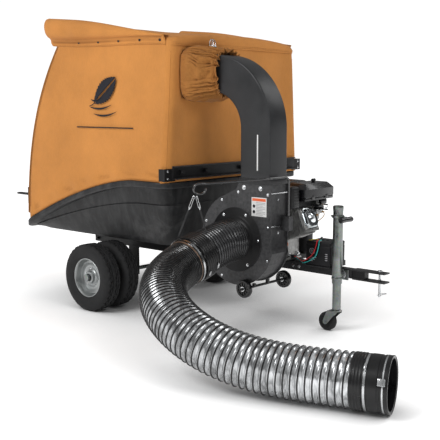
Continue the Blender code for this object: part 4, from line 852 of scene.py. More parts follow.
def hood_wall(settings):
    """Right side, front and left side of the hood as one wrapped panel."""
    corner, levels, n_side, n_front = HOOD_CORNER, 56, 60, 70
    rows = []
    for j in range(levels + 1):
        t = j / levels
        half = HOOD_HEM_Y + (HOOD_EAVE_Y - HOOD_HEM_Y) * t
        tuck = 1 - math.sqrt(max(0.0, 1 - smooth(0.955, 1.0, t) ** 2))
        x_rear = side_point(0, t)[0]
        straight = (BODY_FRONT - corner - x_rear) / (BODY_FRONT - x_rear)
        half_row = []
        for i in range(n_side + 1):
            u = straight * i / n_side
            x, z = side_point(u, t)
            p = Vector((x, -half, z))
            out = Vector((0, -1, 0))
            p.y += 0.026 * tuck * smooth(0.80, 1.0, u)
            half_row.append(p + out * slack(settings, p, u, t, False))
        for i in range(1, 8):
            a = math.pi / 2 * i / 8
            x = BODY_FRONT - corner + corner * math.sin(a)
            z = side_point((x - x_rear) / (BODY_FRONT - x_rear), t)[1]
            half_row.append(Vector((x, -half + corner * (1 - math.cos(a)) + 0.026 * tuck * math.cos(a), z)))
        for i in range(n_front // 2 + 1):
            y = -(half - corner) * (1 - i / (n_front // 2))
            p = Vector((BODY_FRONT, y, side_point(1, t)[1]))
            edge = smooth(0, 0.10, half - corner - abs(y))
            half_row.append(p + Vector((slack(settings, p, 0.5, t, True) * edge, 0, 0)))
        mirrored = []
        for p in half_row[-2::-1]:
            q = Vector((p.x, -p.y, p.z))
            sway = Vector((0.002 * noise.noise(q * 3.1), 0, 0))
            mirrored.append(q + sway * smooth(0, 0.3, BODY_FRONT - q.x))
        rows.append(half_row + mirrored)
    bm = draw()
    grid(bm, rows)
    hole = [f for f in bm.faces
        if f.calc_center_median().x > BODY_FRONT - 0.02 and -0.470 < f.calc_center_median().y < -0.158
        and 1.268 < f.calc_center_median().z < 1.532]
    bmesh.ops.delete(bm, geom=hole, context="FACES")
    return piece("hood_wall_cloth", bm, "canvas", "tub_body", ("hood_canvas",), sharp=0,
        thickness=0.003, normals=False)


def roof_height(x, s, u):
    """Roof between the eaves: crowned across, slack between the cross tubes, pulled down at the front."""
    sag = -0.010 * math.sin(math.pi * u) * (1 - s * s)
    return eave_z(x) + 0.025 * (1 - s * s) + sag


def hood_roof():
    """Roof panel, turned down over the front wall in a sewn flap."""
    length, width, turn = 44, 48, 6
    x_rear = rear_edge_x(1.68) - DOOR_GAP - DOOR_THICKNESS - 0.012
    rows = []
    for k in range(width + 1):
        s = 2 * k / width - 1
        wide = s * (HOOD_EAVE_Y + 0.003)
        past = max(0.0, abs(wide) - HOOD_EAVE_Y + HOOD_CORNER) / HOOD_CORNER
        back = HOOD_CORNER * (1 - math.sqrt(max(0.0, 1 - min(1.0, past) ** 2)))
        row = []
        for i in range(length + 1):
            u = i / length
            x = x_rear + (BODY_FRONT - 0.022 - x_rear) * u - back * smooth(0.85, 1.0, u)
            y = wide - math.copysign(0.024 * abs(s) ** 6 * smooth(0.80, 1.0, u), s)
            z = roof_height(x, s, u) - 0.010 * abs(s) ** 8 * smooth(0.80, 1.0, u)
            z += 0.003 * noise.noise(Vector((x * 3, y * 3, 2.0)))
            row.append(Vector((x, y, z)))
        top = row[-1].z
        bend = 0.0255
        for i in range(1, turn + 1):
            a = math.pi / 2 * i / turn
            y = wide - math.copysign(0.024 * abs(s) ** 6 * math.cos(a), s)
            row.append(Vector((BODY_FRONT - 0.022 - back + bend * math.sin(a), y,
                top - bend * (1 - math.cos(a)))))
        low = 1.5535
        for i in range(1, 7):
            drop = row[length + turn].z + (low - row[length + turn].z) * i / 6
            flare = 0.0015 * math.sin(i * 1.1) + 0.001 * noise.noise(Vector((y * 9, i * 0.4, 0)))
            row.append(Vector((BODY_FRONT + 0.0035 + flare - back, wide, drop)))
        rows.append(row)
    bm = draw()
    grid(bm, rows)
    bmesh.ops.reverse_faces(bm, faces=bm.faces)
    return piece("hood_roof_cloth", bm, "canvas", "tub_body", sharp=0, thickness=0.003,
        normals=False)


def roll_section(x, sign):
    """Points down one cross-section of the rolled side flap, from the roof round the roll to its hem."""
    back = (BODY_FRONT - x) / 1.04
    eave = eave_z(x)
    top = eave + 0.004 + 0.044 * smooth(0.0, 0.75, back)
    low = eave + 0.012 - 0.072 * smooth(-0.15, 0.95, back) - 0.012
    reach = 0.006 + 0.032 * smooth(0.0, 0.8, back)
    dent = 0.010 * math.exp(-((x + 0.21) / 0.055) ** 2)
    centre_y, centre_z = HOOD_EAVE_Y + 0.010 + reach * 0.5, (top + low) / 2
    pts = [(HOOD_EAVE_Y - 0.030, eave + 0.004)]
    for k in range(15):
        a = math.radians(112 - 196 * k / 14)
        bulge = 1.0 + 0.05 * noise.noise(Vector((x * 5, k * 0.25, sign * 3.0)))
        squeeze = dent * math.exp(-((k - 9) / 2.5) ** 2)
        pts.append((centre_y + (reach * bulge - squeeze) * math.cos(a),
            centre_z + (top - low) / 2 * math.sin(a)))
    wall = side_y(x, low) + 0.004
    hem = low - 0.046
    for k in range(1, 6):
        z = low - 0.004 - 0.042 * k / 5
        blend_in = min(1.0, k / 2)
        pts.append((pts[15][0] * (1 - blend_in) + (wall + 0.0015) * blend_in, z))
    pts[-1] = (pts[-1][0] - 0.001, hem)
    return [Vector((x, sign * y, z)) for y, z in pts]


def hood_roll(sign, side):
    """Rolled side flap along the eave, tapering to the front, with its snapped hem strip."""
    rear, front, count = -0.424, 0.578, 70
    rows = []
    for i in range(count + 1):
        x = rear + (front - rear) * i / count
        section = roll_section(max(x, -0.40), sign)
        close = math.sqrt(max(0.0, 1 - (1 - min(1.0, (x - rear) / 0.030)) ** 2))
        heart = section[8] * 0.35 + section[2] * 0.65
        heart.y = sign * (HOOD_EAVE_Y + 0.020)
        scale = 0.30 + 0.70 * close
        row = []
        for p in section:
            q = heart + (p - heart) * scale
            q.x = x
            row.append(q)
        rows.append(row)
    bm = draw()
    grid(bm, rows)
    bm.verts.ensure_lookup_table()
    bm.faces.new([bm.verts[k] for k in range(16)])
    if sign > 0:
        bmesh.ops.reverse_faces(bm, faces=bm.faces)
    return piece(f"hood_roll_{side}", bm, "canvas", "tub_body", sharp=0, thickness=0.0025,
        normals=False)


def hem_line(sign, along, lift=0.0065):
    """Points of a line of stitches or snaps on a roll's hem strip; along is its drop below the roll."""
    pts = []
    for k in range(61):
        x = -0.385 + 0.955 * k / 60
        section = roll_section(x, sign)
        z = section[15].z - along
        pts.append(Vector((x, sign * (side_y(x, z) + lift), z)))
    return pts


def stitch_row(bm, points, radius=0.0009, dash=3):
    """Raised thread: short dashes along a line."""
    fine = route(points, 0.004)
    for start in range(0, len(fine) - dash, dash + 1):
        sweep(bm, fine[start:start + dash], radius, 5)


def hood_trim():
    """Snaps, hem stitching, corner seam and the printed leaf on the hood."""
    for side, sign in (("right", -1), ("left", 1)):
        line = hem_line(sign, 0.020)
        snaps = draw()
        for x in (-0.147, 0.029, 0.203, 0.372, 0.546):
            at = min(line, key=lambda p: abs(p.x - x))
            lathe(snaps, [(0, 0), (0.0088, 0), (0.0092, 0.0012), (0.0075, 0.0030), (0.0045, 0.0024),
                (0, 0.0026)], at - Vector((0, sign * 0.0015, 0)), (0, sign, 0), 24)
        piece(f"hood_snaps_{side}", snaps, "gloss_black", "tub_body")
        thread = draw()
        stitch_row(thread, hem_line(sign, 0.040))
        stitch_row(thread, hem_line(sign, 0.006, 0.0072))
        piece(f"hood_roll_stitching_{side}", thread, "canvas_binding", "tub_body", sharp=0)
        binding = draw()
        edge = [Vector((side_point(0, t / 40)[0] - 0.0005, sign * (side_y(*side_point(0, t / 40)) - 0.002),
            side_point(0, t / 40)[1])) for t in range(2, 39)]
        sweep(binding, edge, 0.0045, 8)
        hem = [Vector((x, sign * (HOOD_HEM_Y + 0.0015), rim_height(x) + 0.004))
            for x in (-0.60 + 1.17 * k / 60 for k in range(61))]
        sweep(binding, hem, 0.0028, 8)
        piece(f"hood_binding_{side}", binding, "canvas_binding", "tub_body", sharp=0)
    thread = draw()
    for z in (1.563, 1.571):
        stitch_row(thread, [Vector((BODY_FRONT + 0.0062, y, z))
            for y in (-0.548 + 1.096 * k / 40 for k in range(41))])
    piece("hood_flap_stitching", thread, "canvas_binding", "tub_body", sharp=0)
    seams = draw()
    for sign in (-1, 1):
        line = []
        for k in range(3, 37):
            t = k / 40
            half = HOOD_HEM_Y + (HOOD_EAVE_Y - HOOD_HEM_Y) * t
            inset = HOOD_CORNER * (1 - math.sqrt(0.5)) + 0.0015
            line.append(Vector((BODY_FRONT - inset, sign * (half - inset), side_point(0.98, t)[1])))
        sweep(seams, line, 0.0042, 8)
    piece("hood_corner_seams", seams, "canvas", "tub_body", sharp=0)
    printed_leaf()


def on_wall(x, z, lift=0.0045):
    """Point just outside the cloth of the hood's right side."""
    return Vector((x, -side_y(x, z) - lift, z))


def leaf_outline(length, width, count=26):
    """(along, half width) pairs of a serrated leaf."""
    pairs = []
    for k in range(count + 1):
        s = k / count
        body = math.sin(math.pi * s ** 0.85) ** 0.9 if 0 < s < 1 else 0.0
        tooth = 1.0 - 0.16 * (k % 2)
        pairs.append((length * (s - 0.5), width / 2 * body * tooth))
    return pairs


def printed_leaf():
    """A leaf carried on three lines of air, printed on the hood's right side, and a plain pinstripe."""
    centre = Vector((0.099, 1.294))
    lift = 0.0048
    bm = draw()
    lean = math.radians(38)
    axis, across = Vector((math.cos(lean), math.sin(lean))), Vector((-math.sin(lean), math.cos(lean)))
    pairs = leaf_outline(0.235, 0.125)
    heart = centre + Vector((0.0, 0.020))
    for sign in (-1, 1):
        rows = []
        for a, w in pairs:
            row = []
            for share in (0.045, 0.35, 0.70, 1.0):
                p = heart + axis * (a + w * share * 0.25)
                p += across * sign * (0.0035 + max(0.0005, w) * share)
                row.append(on_wall(p.x, p.y, lift))
            rows.append(row)
        grid(bm, rows)
    stalk = [heart - axis * (0.112 + 0.05 * k / 6) + across * 0.012 * (k / 6) ** 2 for k in range(7)]
    grid(bm, [[on_wall(p.x - across.x * w, p.y - across.y * w, lift) for w in (-0.003, 0.003)]
        for p in stalk])
    for start, drop, length in ((-0.125, -0.030, 0.10), (-0.130, -0.075, 0.19), (-0.095, -0.115, 0.20)):
        rows = []
        for k in range(21):
            s = k / 20
            x = centre.x + start + length * s
            z = centre.y + drop - 0.016 * math.sin(math.pi * s) + 0.012 * s
            w = 0.0050 * math.sin(math.pi * min(1, s * 0.96 + 0.04)) + 0.0006
            rows.append([on_wall(x, z - w, lift), on_wall(x, z + w, lift)])
        grid(bm, rows)
    rows = []
    for k in range(41):
        s = k / 40
        x = -0.150 + 0.50 * s
        w = 0.0032
        rows.append([on_wall(x, 1.100 - w, lift), on_wall(x, 1.100 + w, lift)])
    grid(bm, rows)
    piece("hood_print", bm, "print_ink", "tub_body", sharp=0, thickness=0.0004)


def door_half(z):
    """Half width of the rear door at a height."""
    return HOOD_HEM_Y + (HOOD_EAVE_Y - HOOD_HEM_Y) * max(0, z - 0.55) / 1.13 - 0.006


def rear_door():
    """Canvas rear door: a slack sheet bound all round and crossed by two seams."""
    across, up = 44, 48
    rows = []
    low, high = 0.542, 1.678
    for j in range(up + 1):
        z = low + (high - low) * j / up
        x = rear_edge_x(z) - DOOR_GAP - DOOR_THICKNESS
        half = door_half(z)
        row = []
        for i in range(across + 1):
            y = half * (2 * i / across - 1)
            rim_in = math.sin(math.pi * i / across) * math.sin(math.pi * j / up)
            ripple = noise.noise(Vector((1.0, y * 4.0, z * 3.0))) * 0.004 * min(1.0, rim_in * 3)
            row.append(Vector((x + 0.003 * rim_in + max(-0.002, ripple), y, z)))
        rows.append(row)
    for forward, rise in ((0.001, 0.6), (0.004, 1.0)):
        rows.append([Vector((p.x + forward, p.y * 0.995, p.z + rise * max(0.002,
            roof_height(p.x, p.y / HOOD_EAVE_Y, 0) - 0.006 - p.z))) for p in rows[up]])
    bm = draw()
    grid(bm, rows)
    door = piece("rear_door_cloth", bm, "canvas", "door", ("rear_door",), sharp=0,
        thickness=0.0035, normals=True)
    trim = draw()
    rising = [low + (high - low) * k / 30 for k in range(31)]
    falling = [high - (high - low) * k / 30 for k in range(31)]
    edge = [Vector((rear_edge_x(z) - DOOR_GAP - 0.0075, sign * door_half(z), z))
        for sign, heights in ((-1, rising), (1, falling)) for z in heights]
    sweep(trim, edge + [edge[0]], 0.0046, 8)
    for y in (-0.30, 0.30):
        sweep(trim, [Vector((rear_edge_x(z) - DOOR_GAP - 0.0085, y, z)) for z in rising], 0.0036, 8)
    piece("rear_door_binding", trim, "canvas_binding", "door", sharp=0)
    frame_bars = draw()
    for s in (-1, 1):
        line = [Vector((rear_edge_x(z) - DOOR_GAP - 0.0035, s * (HOOD_EAVE_Y - 0.022), z))
            for z in (low + 0.01 + (high - low - 0.02) * k / 16 for k in range(17))]
        sweep(frame_bars, line, 0.0030, 8)
    piece("rear_door_frame", frame_bars, "black_paint", "door")
    return door


def sleeve_section(x, k, count, settings):
    """Point k of the gathered sleeve's outline at x."""
    stations = ((BODY_FRONT + 0.0005, -0.315, 1.400, 0.178, 0.149), (0.63, -0.315, 1.401, 0.186, 0.152),
        (0.66, -0.314, 1.402, 0.190, 0.154), (0.72, -0.310, 1.404, 0.164, 0.143),
        (0.775, -0.308, 1.404, 0.113, 0.130), (0.793, -0.306, 1.403, 0.092, 0.117),
        (0.800, -0.3055, 1.4025, 0.098, 0.123), (0.812, -0.3050, 1.400, 0.108, 0.131))
    for (x0, *low), (x1, *high) in zip(stations, stations[1:]):
        if x <= x1:
            break
    t = smooth(x0, x1, x)
    y, z, a, b = (p + (q - p) * t for p, q in zip(low, high))
    turn = math.tau * (k + 0.5) / count
    c, s = math.cos(turn), math.sin(turn)
    power = 0.48 + 0.16 * smooth(0.68, 0.79, x)
    gather = smooth(0.625, 0.775, x)
    depth = settings.sleeve_gather * (0.12 + 0.88 * gather)
    fold = 1.6 * abs(math.sin(turn * 9.5 + 0.7)) - 0.9 + 0.35 * math.sin(turn * 19
        + 2.4 * math.sin(turn * 3 + 1.0) + 5.0 * noise.noise(Vector((c * 1.6, s * 1.6, x * 7))))
    fold += 0.45 * math.sin(turn * 41 + 9 * noise.noise(Vector((c * 3, s * 3, x * 16))))
    sag = 0.012 * noise.noise(Vector((c * 1.3 + 5, s * 1.3, x * 9))) * (1 - gather * 0.6)
    sag *= smooth(0.62, 0.66, x)
    grow = depth * (fold - 0.5) + sag
    return Vector((x, y + (a + grow) * math.copysign(abs(c) ** power, c),
        z + (b + grow) * math.copysign(abs(s) ** power, s)))


def inlet_sleeve(settings):
    """Gathered canvas sleeve between the hood's front and the chute's mouth, drawn in by an elastic."""
    count, stations = 288, 40
    bm = draw()
    rows = []
    for i in range(stations + 1):
        x = BODY_FRONT + 0.0005 + (0.812 - BODY_FRONT - 0.0005) * i / stations
        rows.append([bm.verts.new(sleeve_section(x, k, count, settings)) for k in range(count)])
    loft(bm, rows)
    # The sleeve wears the darkened canvas, painted shade for the shadow it hangs in.
    sleeve = piece("inlet_sleeve_cloth", bm, "canvas_sleeve_shaded", None, ("inlet_sleeve",), sharp=0,
        thickness=0.002)
    elastic = draw()
    ring = [sleeve_section(0.789, k, 72, settings) + Vector((0.002, 0, 0)) for k in range(72)]
    sweep(elastic, ring + ring[:2], 0.0034, 8, caps=False)
    band = piece("inlet_sleeve_elastic", elastic, "canvas_binding", None, sharp=0)
    clip = draw()
    for y in (-0.340, -0.322):
        sweep(clip, route([(0.700, y, 1.556), (0.704, y - 0.004, 1.575), (0.712, y, 1.590),
            (0.722, y + 0.005, 1.572), (0.724, y, 1.548)], 0.003), 0.0022, 8)
    box(clip, (0.698, -0.348, 1.538), (0.728, -0.314, 1.556), 0.003)
    buckle = piece("inlet_sleeve_buckle", clip, "bright_steel", None)
    for obj in (sleeve, band, buckle):
        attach(obj, "tub_body")
        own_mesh(obj)
    return sleeve, band


def hood(settings):
    """The whole canvas: wall, roof, rolls, trim, door and sleeve."""
    wall = hood_wall(settings)
    roof = hood_roof()
    right, left = hood_roll(-1, "right"), hood_roll(1, "left")
    hood_trim()
    cloth(wall)
    cloth(roof)
    cloth(right)
    cloth(left)
    door = rear_door()
    cloth(door)
    sleeve, band = inlet_sleeve(settings)
    cloth(sleeve)


# ---------------------------------------------------------------- blower and chute

def scroll_outline(grow, arc=56):
    """Side view of the blower housing as (x, z) points, grown outwards all round."""
    radius = BLOWER_RADIUS + grow
    pts = []
    for k in range(arc + 1):
        a = math.radians(112 + 234 * k / arc)
        pts.append((BLOWER.x + radius * math.cos(a), BLOWER.z + radius * math.sin(a)))
    right = CHUTE_X[1] + grow
    pts += [(right, 0.470), (right, BLOWER_TOP), (CHUTE_X[0] - grow, BLOWER_TOP),
        (CHUTE_X[0] - grow - 0.02, BLOWER_TOP - 0.035)]
    return pts


def bored_plate(bm, y_low, y_high, bore, grow):
    """Blower side plate with a round bore, as two faces and their rims."""
    outline = scroll_outline(grow)
    centre = (BLOWER.x, BLOWER.z)
    rows = []
    for y in (y_low, y_high):
        outer = [bm.verts.new((x, y, z)) for x, z in outline]
        inner = []
        for x, z in outline:
            a = math.atan2(z - centre[1], x - centre[0])
            inner.append(bm.verts.new((centre[0] + bore * math.cos(a), y, centre[1] + bore * math.sin(a))))
        rows.append((outer, inner))
    (o0, i0), (o1, i1) = rows
    loft(bm, [i0, o0, o1, i1, i0])


def blower():
    """Blower housing: side plates, scroll band, flared inlet ring, bolts and tie rods."""
    front = BLOWER.y
    bm = draw()
    bored_plate(bm, front, front + 0.004, 0.101, 0.010)
    piece("blower_front_sheet", bm, "black_paint", stands_for=("blower_front_plate",))
    bm = draw()
    bored_plate(bm, BLOWER_BACK_Y - 0.004, BLOWER_BACK_Y, 0.030, 0.010)
    piece("blower_back_sheet", bm, "black_paint", stands_for=("blower_back_plate",))
    refinish("blower_scroll", "black_paint", 0.0)
    refinish("impeller", "impeller_steel", 0.0)
    neck = 0.099
    profile = [(neck - 0.003, -0.078), (neck, -0.078), (neck, -0.026), (0.1030, -0.0190), (0.1110, -0.0125),
        (0.1220, -0.0085), (0.1330, -0.0062), (0.1350, -0.0046), (0.1765, -0.0046), (0.1780, -0.0034),
        (0.1780, 0.0), (neck - 0.003, 0.0)]
    piece("inlet_ring_spinning", lathe(draw(), profile, (BLOWER.x, front - 0.0005, BLOWER.z), (0, 1, 0), 96,
        ring=True), "black_paint", stands_for=("inlet_ring",), sharp=40)
    bolts = draw()
    for k in range(6):
        a = math.radians(60 * k + 3)
        hex_bolt(bolts, (BLOWER.x + 0.157 * math.cos(a), front - 0.0050, BLOWER.z + 0.157 * math.sin(a)),
            (0, -1, 0), 0.0055, 0.0055)
    for deg in (159, 116, 202, 244, -71, -24):
        a = math.radians(deg)
        hex_bolt(bolts, (BLOWER.x + 0.236 * math.cos(a), front - 0.0002, BLOWER.z + 0.236 * math.sin(a)),
            (0, -1, 0), 0.0050, 0.0052)
    for x, z in ((1.148, 0.584), (1.148, 0.760), (0.944, 0.763)):
        hex_bolt(bolts, (x, front - 0.0002, z), (0, -1, 0), 0.0055, 0.0052)
    for x in (0.985, 1.099):
        hex_bolt(bolts, (x, front - 0.0006, 0.790), (0, -1, 0), 0.0088, 0.0068)
    piece("blower_bolts", bolts, "bright_steel")
    ties = draw()
    for z in (0.765, 0.588):
        rod(ties, (1.1652, front + 0.0042, z), (1.1652, BLOWER_BACK_Y - 0.0042, z), 0.0036, 14)
    for z in (0.78, 0.60):
        hex_bolt(ties, (CHUTE_X[1] + 0.0004, -0.305, z - 0.05), (1, 0, 0), 0.0045, 0.004)
    piece("blower_tie_rods", ties, "bright_steel")
    plain_label()


def plain_label():
    """White plate with an orange band and grey lines, without wording."""
    y = BLOWER.y
    low_x, high_x, low_z, high_z = 1.038, 1.140, 0.640, 0.742
    piece("label_plate", box(draw(), (low_x, y - 0.0010, low_z), (high_x, y - 0.0001, high_z), 0.0004),
        "label_white")
    piece("label_band", box(draw(), (low_x + 0.005, y - 0.0014, high_z - 0.020),
        (high_x - 0.005, y - 0.0008, high_z - 0.005), 0.0002), "label_orange")
    lines = draw()
    for k in range(9):
        z = high_z - 0.029 - 0.0082 * k
        reach = 0.062 if k % 3 != 2 else 0.045
        box(lines, (low_x + 0.032, y - 0.0014, z), (low_x + 0.032 + reach, y - 0.0008, z + 0.0022))
    piece("label_lines", lines, "label_grey", sharp=0)
    dots = draw()
    for z in (high_z - 0.048, high_z - 0.078):
        lathe(dots, [(0, 0), (0.0090, 0), (0.0090, 0.0006), (0, 0.0006)], (low_x + 0.017, y - 0.0008, z),
            (0, -1, 0), 28)
    piece("label_dots", dots, "print_ink", sharp=0)


def chute():
    """Discharge duct: folded riser and a smooth quarter bend, with its skirt and a plain stripe."""
    left, right, low = BLOWER.y, BLOWER_BACK_Y, BLOWER_TOP + 0.0005
    inner, outer, fold = CHUTE_X[0] - CHUTE_BEND.x, CHUTE_X[1] - CHUTE_BEND.x, 0.008
    sections = [(CHUTE_X[0], z, CHUTE_X[1], z) for z in (low, 0.86, 0.93, 1.00, 1.06)]
    for k in range(29):
        a = math.radians(90 * k / 28)
        sections.append((CHUTE_BEND.x + inner * math.cos(a), CHUTE_BEND.z + inner * math.sin(a),
            CHUTE_BEND.x + outer * math.cos(a), CHUTE_BEND.z + outer * math.sin(a)))

    def ring(bm, section, inset):
        xi, zi, xo, zo = section
        across = Vector((xo - xi, 0, zo - zi)).normalized()
        a, b = Vector((xi, 0, zi)) + across * inset, Vector((xo, 0, zo)) - across * inset
        y0, y1 = left + inset, right - inset
        pts = []
        for corner, du, dv, turn in ((a, 1, 1, 0), (b, -1, 1, 1), (b, -1, -1, 2), (a, 1, -1, 3)):
            y = y0 if dv > 0 else y1
            u, v = across * du * fold, Vector((0, dv * fold, 0))
            at = Vector((corner.x, y, corner.z))
            arc = [at + u * (1 - math.sin(t)) + v * (1 - math.cos(t))
                for t in (math.pi / 2 * k / 4 for k in range(5))]
            pts += arc if turn % 2 else arc[::-1]
        return [bm.verts.new(p) for p in pts]

    bm = draw()
    rows = [ring(bm, s, 0.0) for s in sections] + [ring(bm, s, 0.004) for s in sections[::-1]]
    loft(bm, rows + [rows[0]])
    bmesh.ops.remove_doubles(bm, verts=bm.verts, dist=1e-6)
    piece("chute_duct", bm, "chute_paint", stands_for=("chute",), sharp=50)
    skirt = draw()
    box(skirt, (CHUTE_X[0] - 0.010, left - 0.004, low), (CHUTE_X[1] + 0.010, left - 0.0002, low + 0.030),
        0.001)
    box(skirt, (CHUTE_X[1] + 0.0002, left - 0.003, low), (CHUTE_X[1] + 0.0100, right + 0.003, low + 0.029),
        0.001)
    box(skirt, (CHUTE_X[0] - 0.0095, left - 0.003, low), (CHUTE_X[0] - 0.0002, right + 0.003, low + 0.029),
        0.001)
    piece("chute_skirt", skirt, "black_paint")
    stripe = draw()
    box(stripe, (1.072, left - 0.0006, 0.885), (1.080, left - 0.0001, 1.075), 0.0002)
    piece("chute_stripe", stripe, "label_white")


# ---------------------------------------------------------------- engine

def lean_matrix():
    """Placement of what is drawn along the cylinder, which points forward and tilts up."""
    return Matrix.Translation((BLOWER.x, CYLINDER_Y, BLOWER.z)) @ Matrix.Rotation(-ENGINE_TILT, 4, "Y")


def octagon(along, half_y, half_z, cut):
    """Rectangle with cut corners, at a distance along the cylinder."""
    pts = [(half_y, -half_z + cut), (half_y, half_z - cut), (half_y - cut, half_z), (-half_y + cut, half_z),
        (-half_y, half_z - cut), (-half_y, -half_z + cut), (-half_y + cut, -half_z),
        (half_y - cut, -half_z)]
    return [Vector((along, y, z)) for y, z in pts]


def engine(settings):
    """Single-cylinder engine: castings, fins, valve cover, fan housing, tank, air cleaner and linkages."""
    lean = lean_matrix()
    floor = 0.3550
    bm = box(draw(), (0.812, -0.200, floor + 0.010), (1.050, 0.0585, 0.628), 0.026, segments=4)
    box(bm, (0.806, -0.205, floor), (1.056, 0.0585, floor + 0.016), 0.004)
    for x in (0.836, 0.880, 0.930, 0.980, 1.026):
        box(bm, (x - 0.003, -0.2055, 0.375), (x + 0.003, -0.190, 0.600), 0.001)
    lathe(bm, [(0, 0), (0.060, 0), (0.058, 0.014), (0.040, 0.020), (0, 0.020)],
        (BLOWER.x, -0.192, BLOWER.z), (0, -1, 0), 40)
    box(bm, (0.060, -0.060, -0.060), (0.2300, 0.060, 0.060), 0.012, lean, 3)
    for k in range(settings.fins):
        along = 0.128 + (0.222 - 0.128) * k / (settings.fins - 1)
        box(bm, (along, -0.078, -0.078), (along + 0.0026, 0.078, 0.078), 0.0008, lean, 1)
    for k in range(4):
        along = 0.230 + 0.009 * k
        box(bm, (along, -0.072, -0.072), (along + 0.0030, 0.072, 0.072), 0.0008, lean, 1)
    box(bm, (0.228, -0.058, -0.062), (0.2675, 0.058, 0.062), 0.008, lean, 3)
    piece("engine_castings", bm, "cast_aluminium", stands_for=("engine_crankcase",),
        sharp=30)
    bm = draw()
    rings = ((0.2685, 0.052, 0.056, 0.020), (0.2685, 0.0560, 0.0600, 0.022),
        (0.2715, 0.0560, 0.0600, 0.022), (0.2725, 0.0500, 0.0540, 0.020), (0.2860, 0.0475, 0.0515, 0.020),
        (0.2890, 0.0450, 0.0490, 0.020), (0.2895, 0.0380, 0.0420, 0.018))
    rows = [[bm.verts.new(lean @ p) for p in octagon(*ring)] for ring in rings]
    capped_loft(bm, rows)
    axis = (lean.to_3x3() @ Vector((1, 0, 0))).normalized()
    lathe(bm, [(0, 0.002), (0.0100, 0.002), (0.0120, 0.0110), (0.0130, 0.0130), (0.0330, 0.0140),
        (0.0360, 0.0120), (0.0372, 0.0), (0, 0)], lean @ Vector((0.2893, 0, 0)), axis, 48)
    piece("valve_cover_pressing", bm, "pressed_steel", stands_for=("valve_cover",),
        sharp=30)
    trim = draw()
    hex_bolt(trim, lean @ Vector((0.2920, 0, 0)), axis, 0.0062, 0.0055)
    for y, z in ((0.046, 0.050), (-0.046, 0.050), (0.046, -0.050), (-0.046, -0.050)):
        hex_bolt(trim, lean @ Vector((0.2716, y * 0.90, z * 0.92)), axis, 0.0046, 0.0048)
    for x, z in ((0.838, 0.395), (1.026, 0.395), (0.838, 0.600), (1.026, 0.600)):
        hex_bolt(trim, (x, -0.2045, z), (0, -1, 0), 0.0052, 0.005)
    piece("engine_bolts", trim, "bright_steel")
    engine_rear()
    tank()
    air_cleaner()
    carburettor()


def engine_rear():
    """Fan housing with its louvres and bolts, and the recoil grip."""
    x, z = BLOWER.x, BLOWER.z
    bm = box(draw(), (0.800, 0.0605, 0.370), (1.085, 0.150, 0.655), 0.034, segments=5)
    lathe(bm, [(0.118, 0.140), (0.114, 0.156), (0.104, 0.166), (0.085, 0.180), (0.060, 0.184),
        (0.030, 0.1855), (0, 0.1855)], (x, 0, z), (0, 1, 0), 72)
    piece("fan_housing_shroud", bm, "black_plastic", stands_for=("fan_housing",),
        sharp=30)
    slots = draw()
    for k in range(24):
        turn = Matrix.Translation((x, 0, z)) @ Matrix.Rotation(math.tau * k / 24, 4, "Y")
        box(slots, (0.048, 0.1790, -0.0028), (0.083, 0.1832, 0.0028), 0.0012, turn)
    for k in range(4):
        a = math.radians(45 + 90 * k)
        hex_bolt(slots, (x + 0.126 * math.cos(a), 0.1495, z + 0.126 * math.sin(a)), (0, 1, 0), 0.005, 0.005)
    piece("recoil_louvres", slots, "gloss_black")
    grip = box(draw(), (x + 0.1185, 0.1645, z + 0.0885), (x + 0.1455, 0.1855, z + 0.1055), 0.0065, segments=4)
    piece("recoil_grip_moulding", grip, "black_plastic", "recoil_grip", ("recoil_grip",))


def tank():
    """Fuel tank with its seam and its fluted cap."""
    filler = (0.905, 0.020)
    bm = box(draw(), (0.800, -0.195, 0.6595), (1.042, 0.165, 0.7985), 0.036, segments=6)
    box(bm, (0.7975, -0.1975, 0.7235), (1.0445, 0.1675, 0.7275), 0.0015)
    lathe(bm, [(0, 0.792), (0.040, 0.792), (0.038, 0.799), (0.034, 0.8000), (0, 0.8000)], (*filler, 0),
        (0, 0, 1), 40)
    piece("fuel_tank_shell", bm, "gloss_black", stands_for=("fuel_tank",), sharp=40)
    cap = [(0, 0.8005), (0.0330, 0.8005), (0.0340, 0.8030), (0.0340, 0.8200), (0.0320, 0.8240),
        (0.0270, 0.8270), (0.0200, 0.8280), (0, 0.8285)]

    def fluted(k, i):
        return 0.955 if k % 3 == 0 and 1 < i < 5 else 1.0

    bm = lathe(draw(), cap, (*filler, 0), (0, 0, 1), 72, shape=fluted)
    piece("fuel_cap_moulding", bm, "black_plastic", "fuel_cap", ("fuel_cap",))


def chamfered_box(bm, low, high, cut_x, cut_y, top):
    """Box whose upper part leans in, as a moulded cover does."""
    rows = []
    for z, dx, dy in ((low[2], 0.004, 0.004), (low[2] + 0.004, 0.0, 0.0), (high[2] - top, 0.0, 0.0),
            (high[2] - 0.004, cut_x - 0.004, cut_y - 0.006), (high[2], cut_x, cut_y)):
        x0, x1, y0, y1 = low[0] + dx * 0.4, high[0] - dx, low[1] + dy, high[1] - dy
        c = 0.010
        pts = [(x0 + c, y0), (x1 - c, y0), (x1 - c * 0.3, y0 + c * 0.3), (x1, y0 + c), (x1, y1 - c),
            (x1 - c * 0.3, y1 - c * 0.3), (x1 - c, y1), (x0 + c, y1), (x0 + c * 0.3, y1 - c * 0.3),
            (x0, y1 - c), (x0, y0 + c), (x0 + c * 0.3, y0 + c * 0.3)]
        rows.append([bm.verts.new((x, y, z)) for x, y in pts])
    capped_loft(bm, rows)


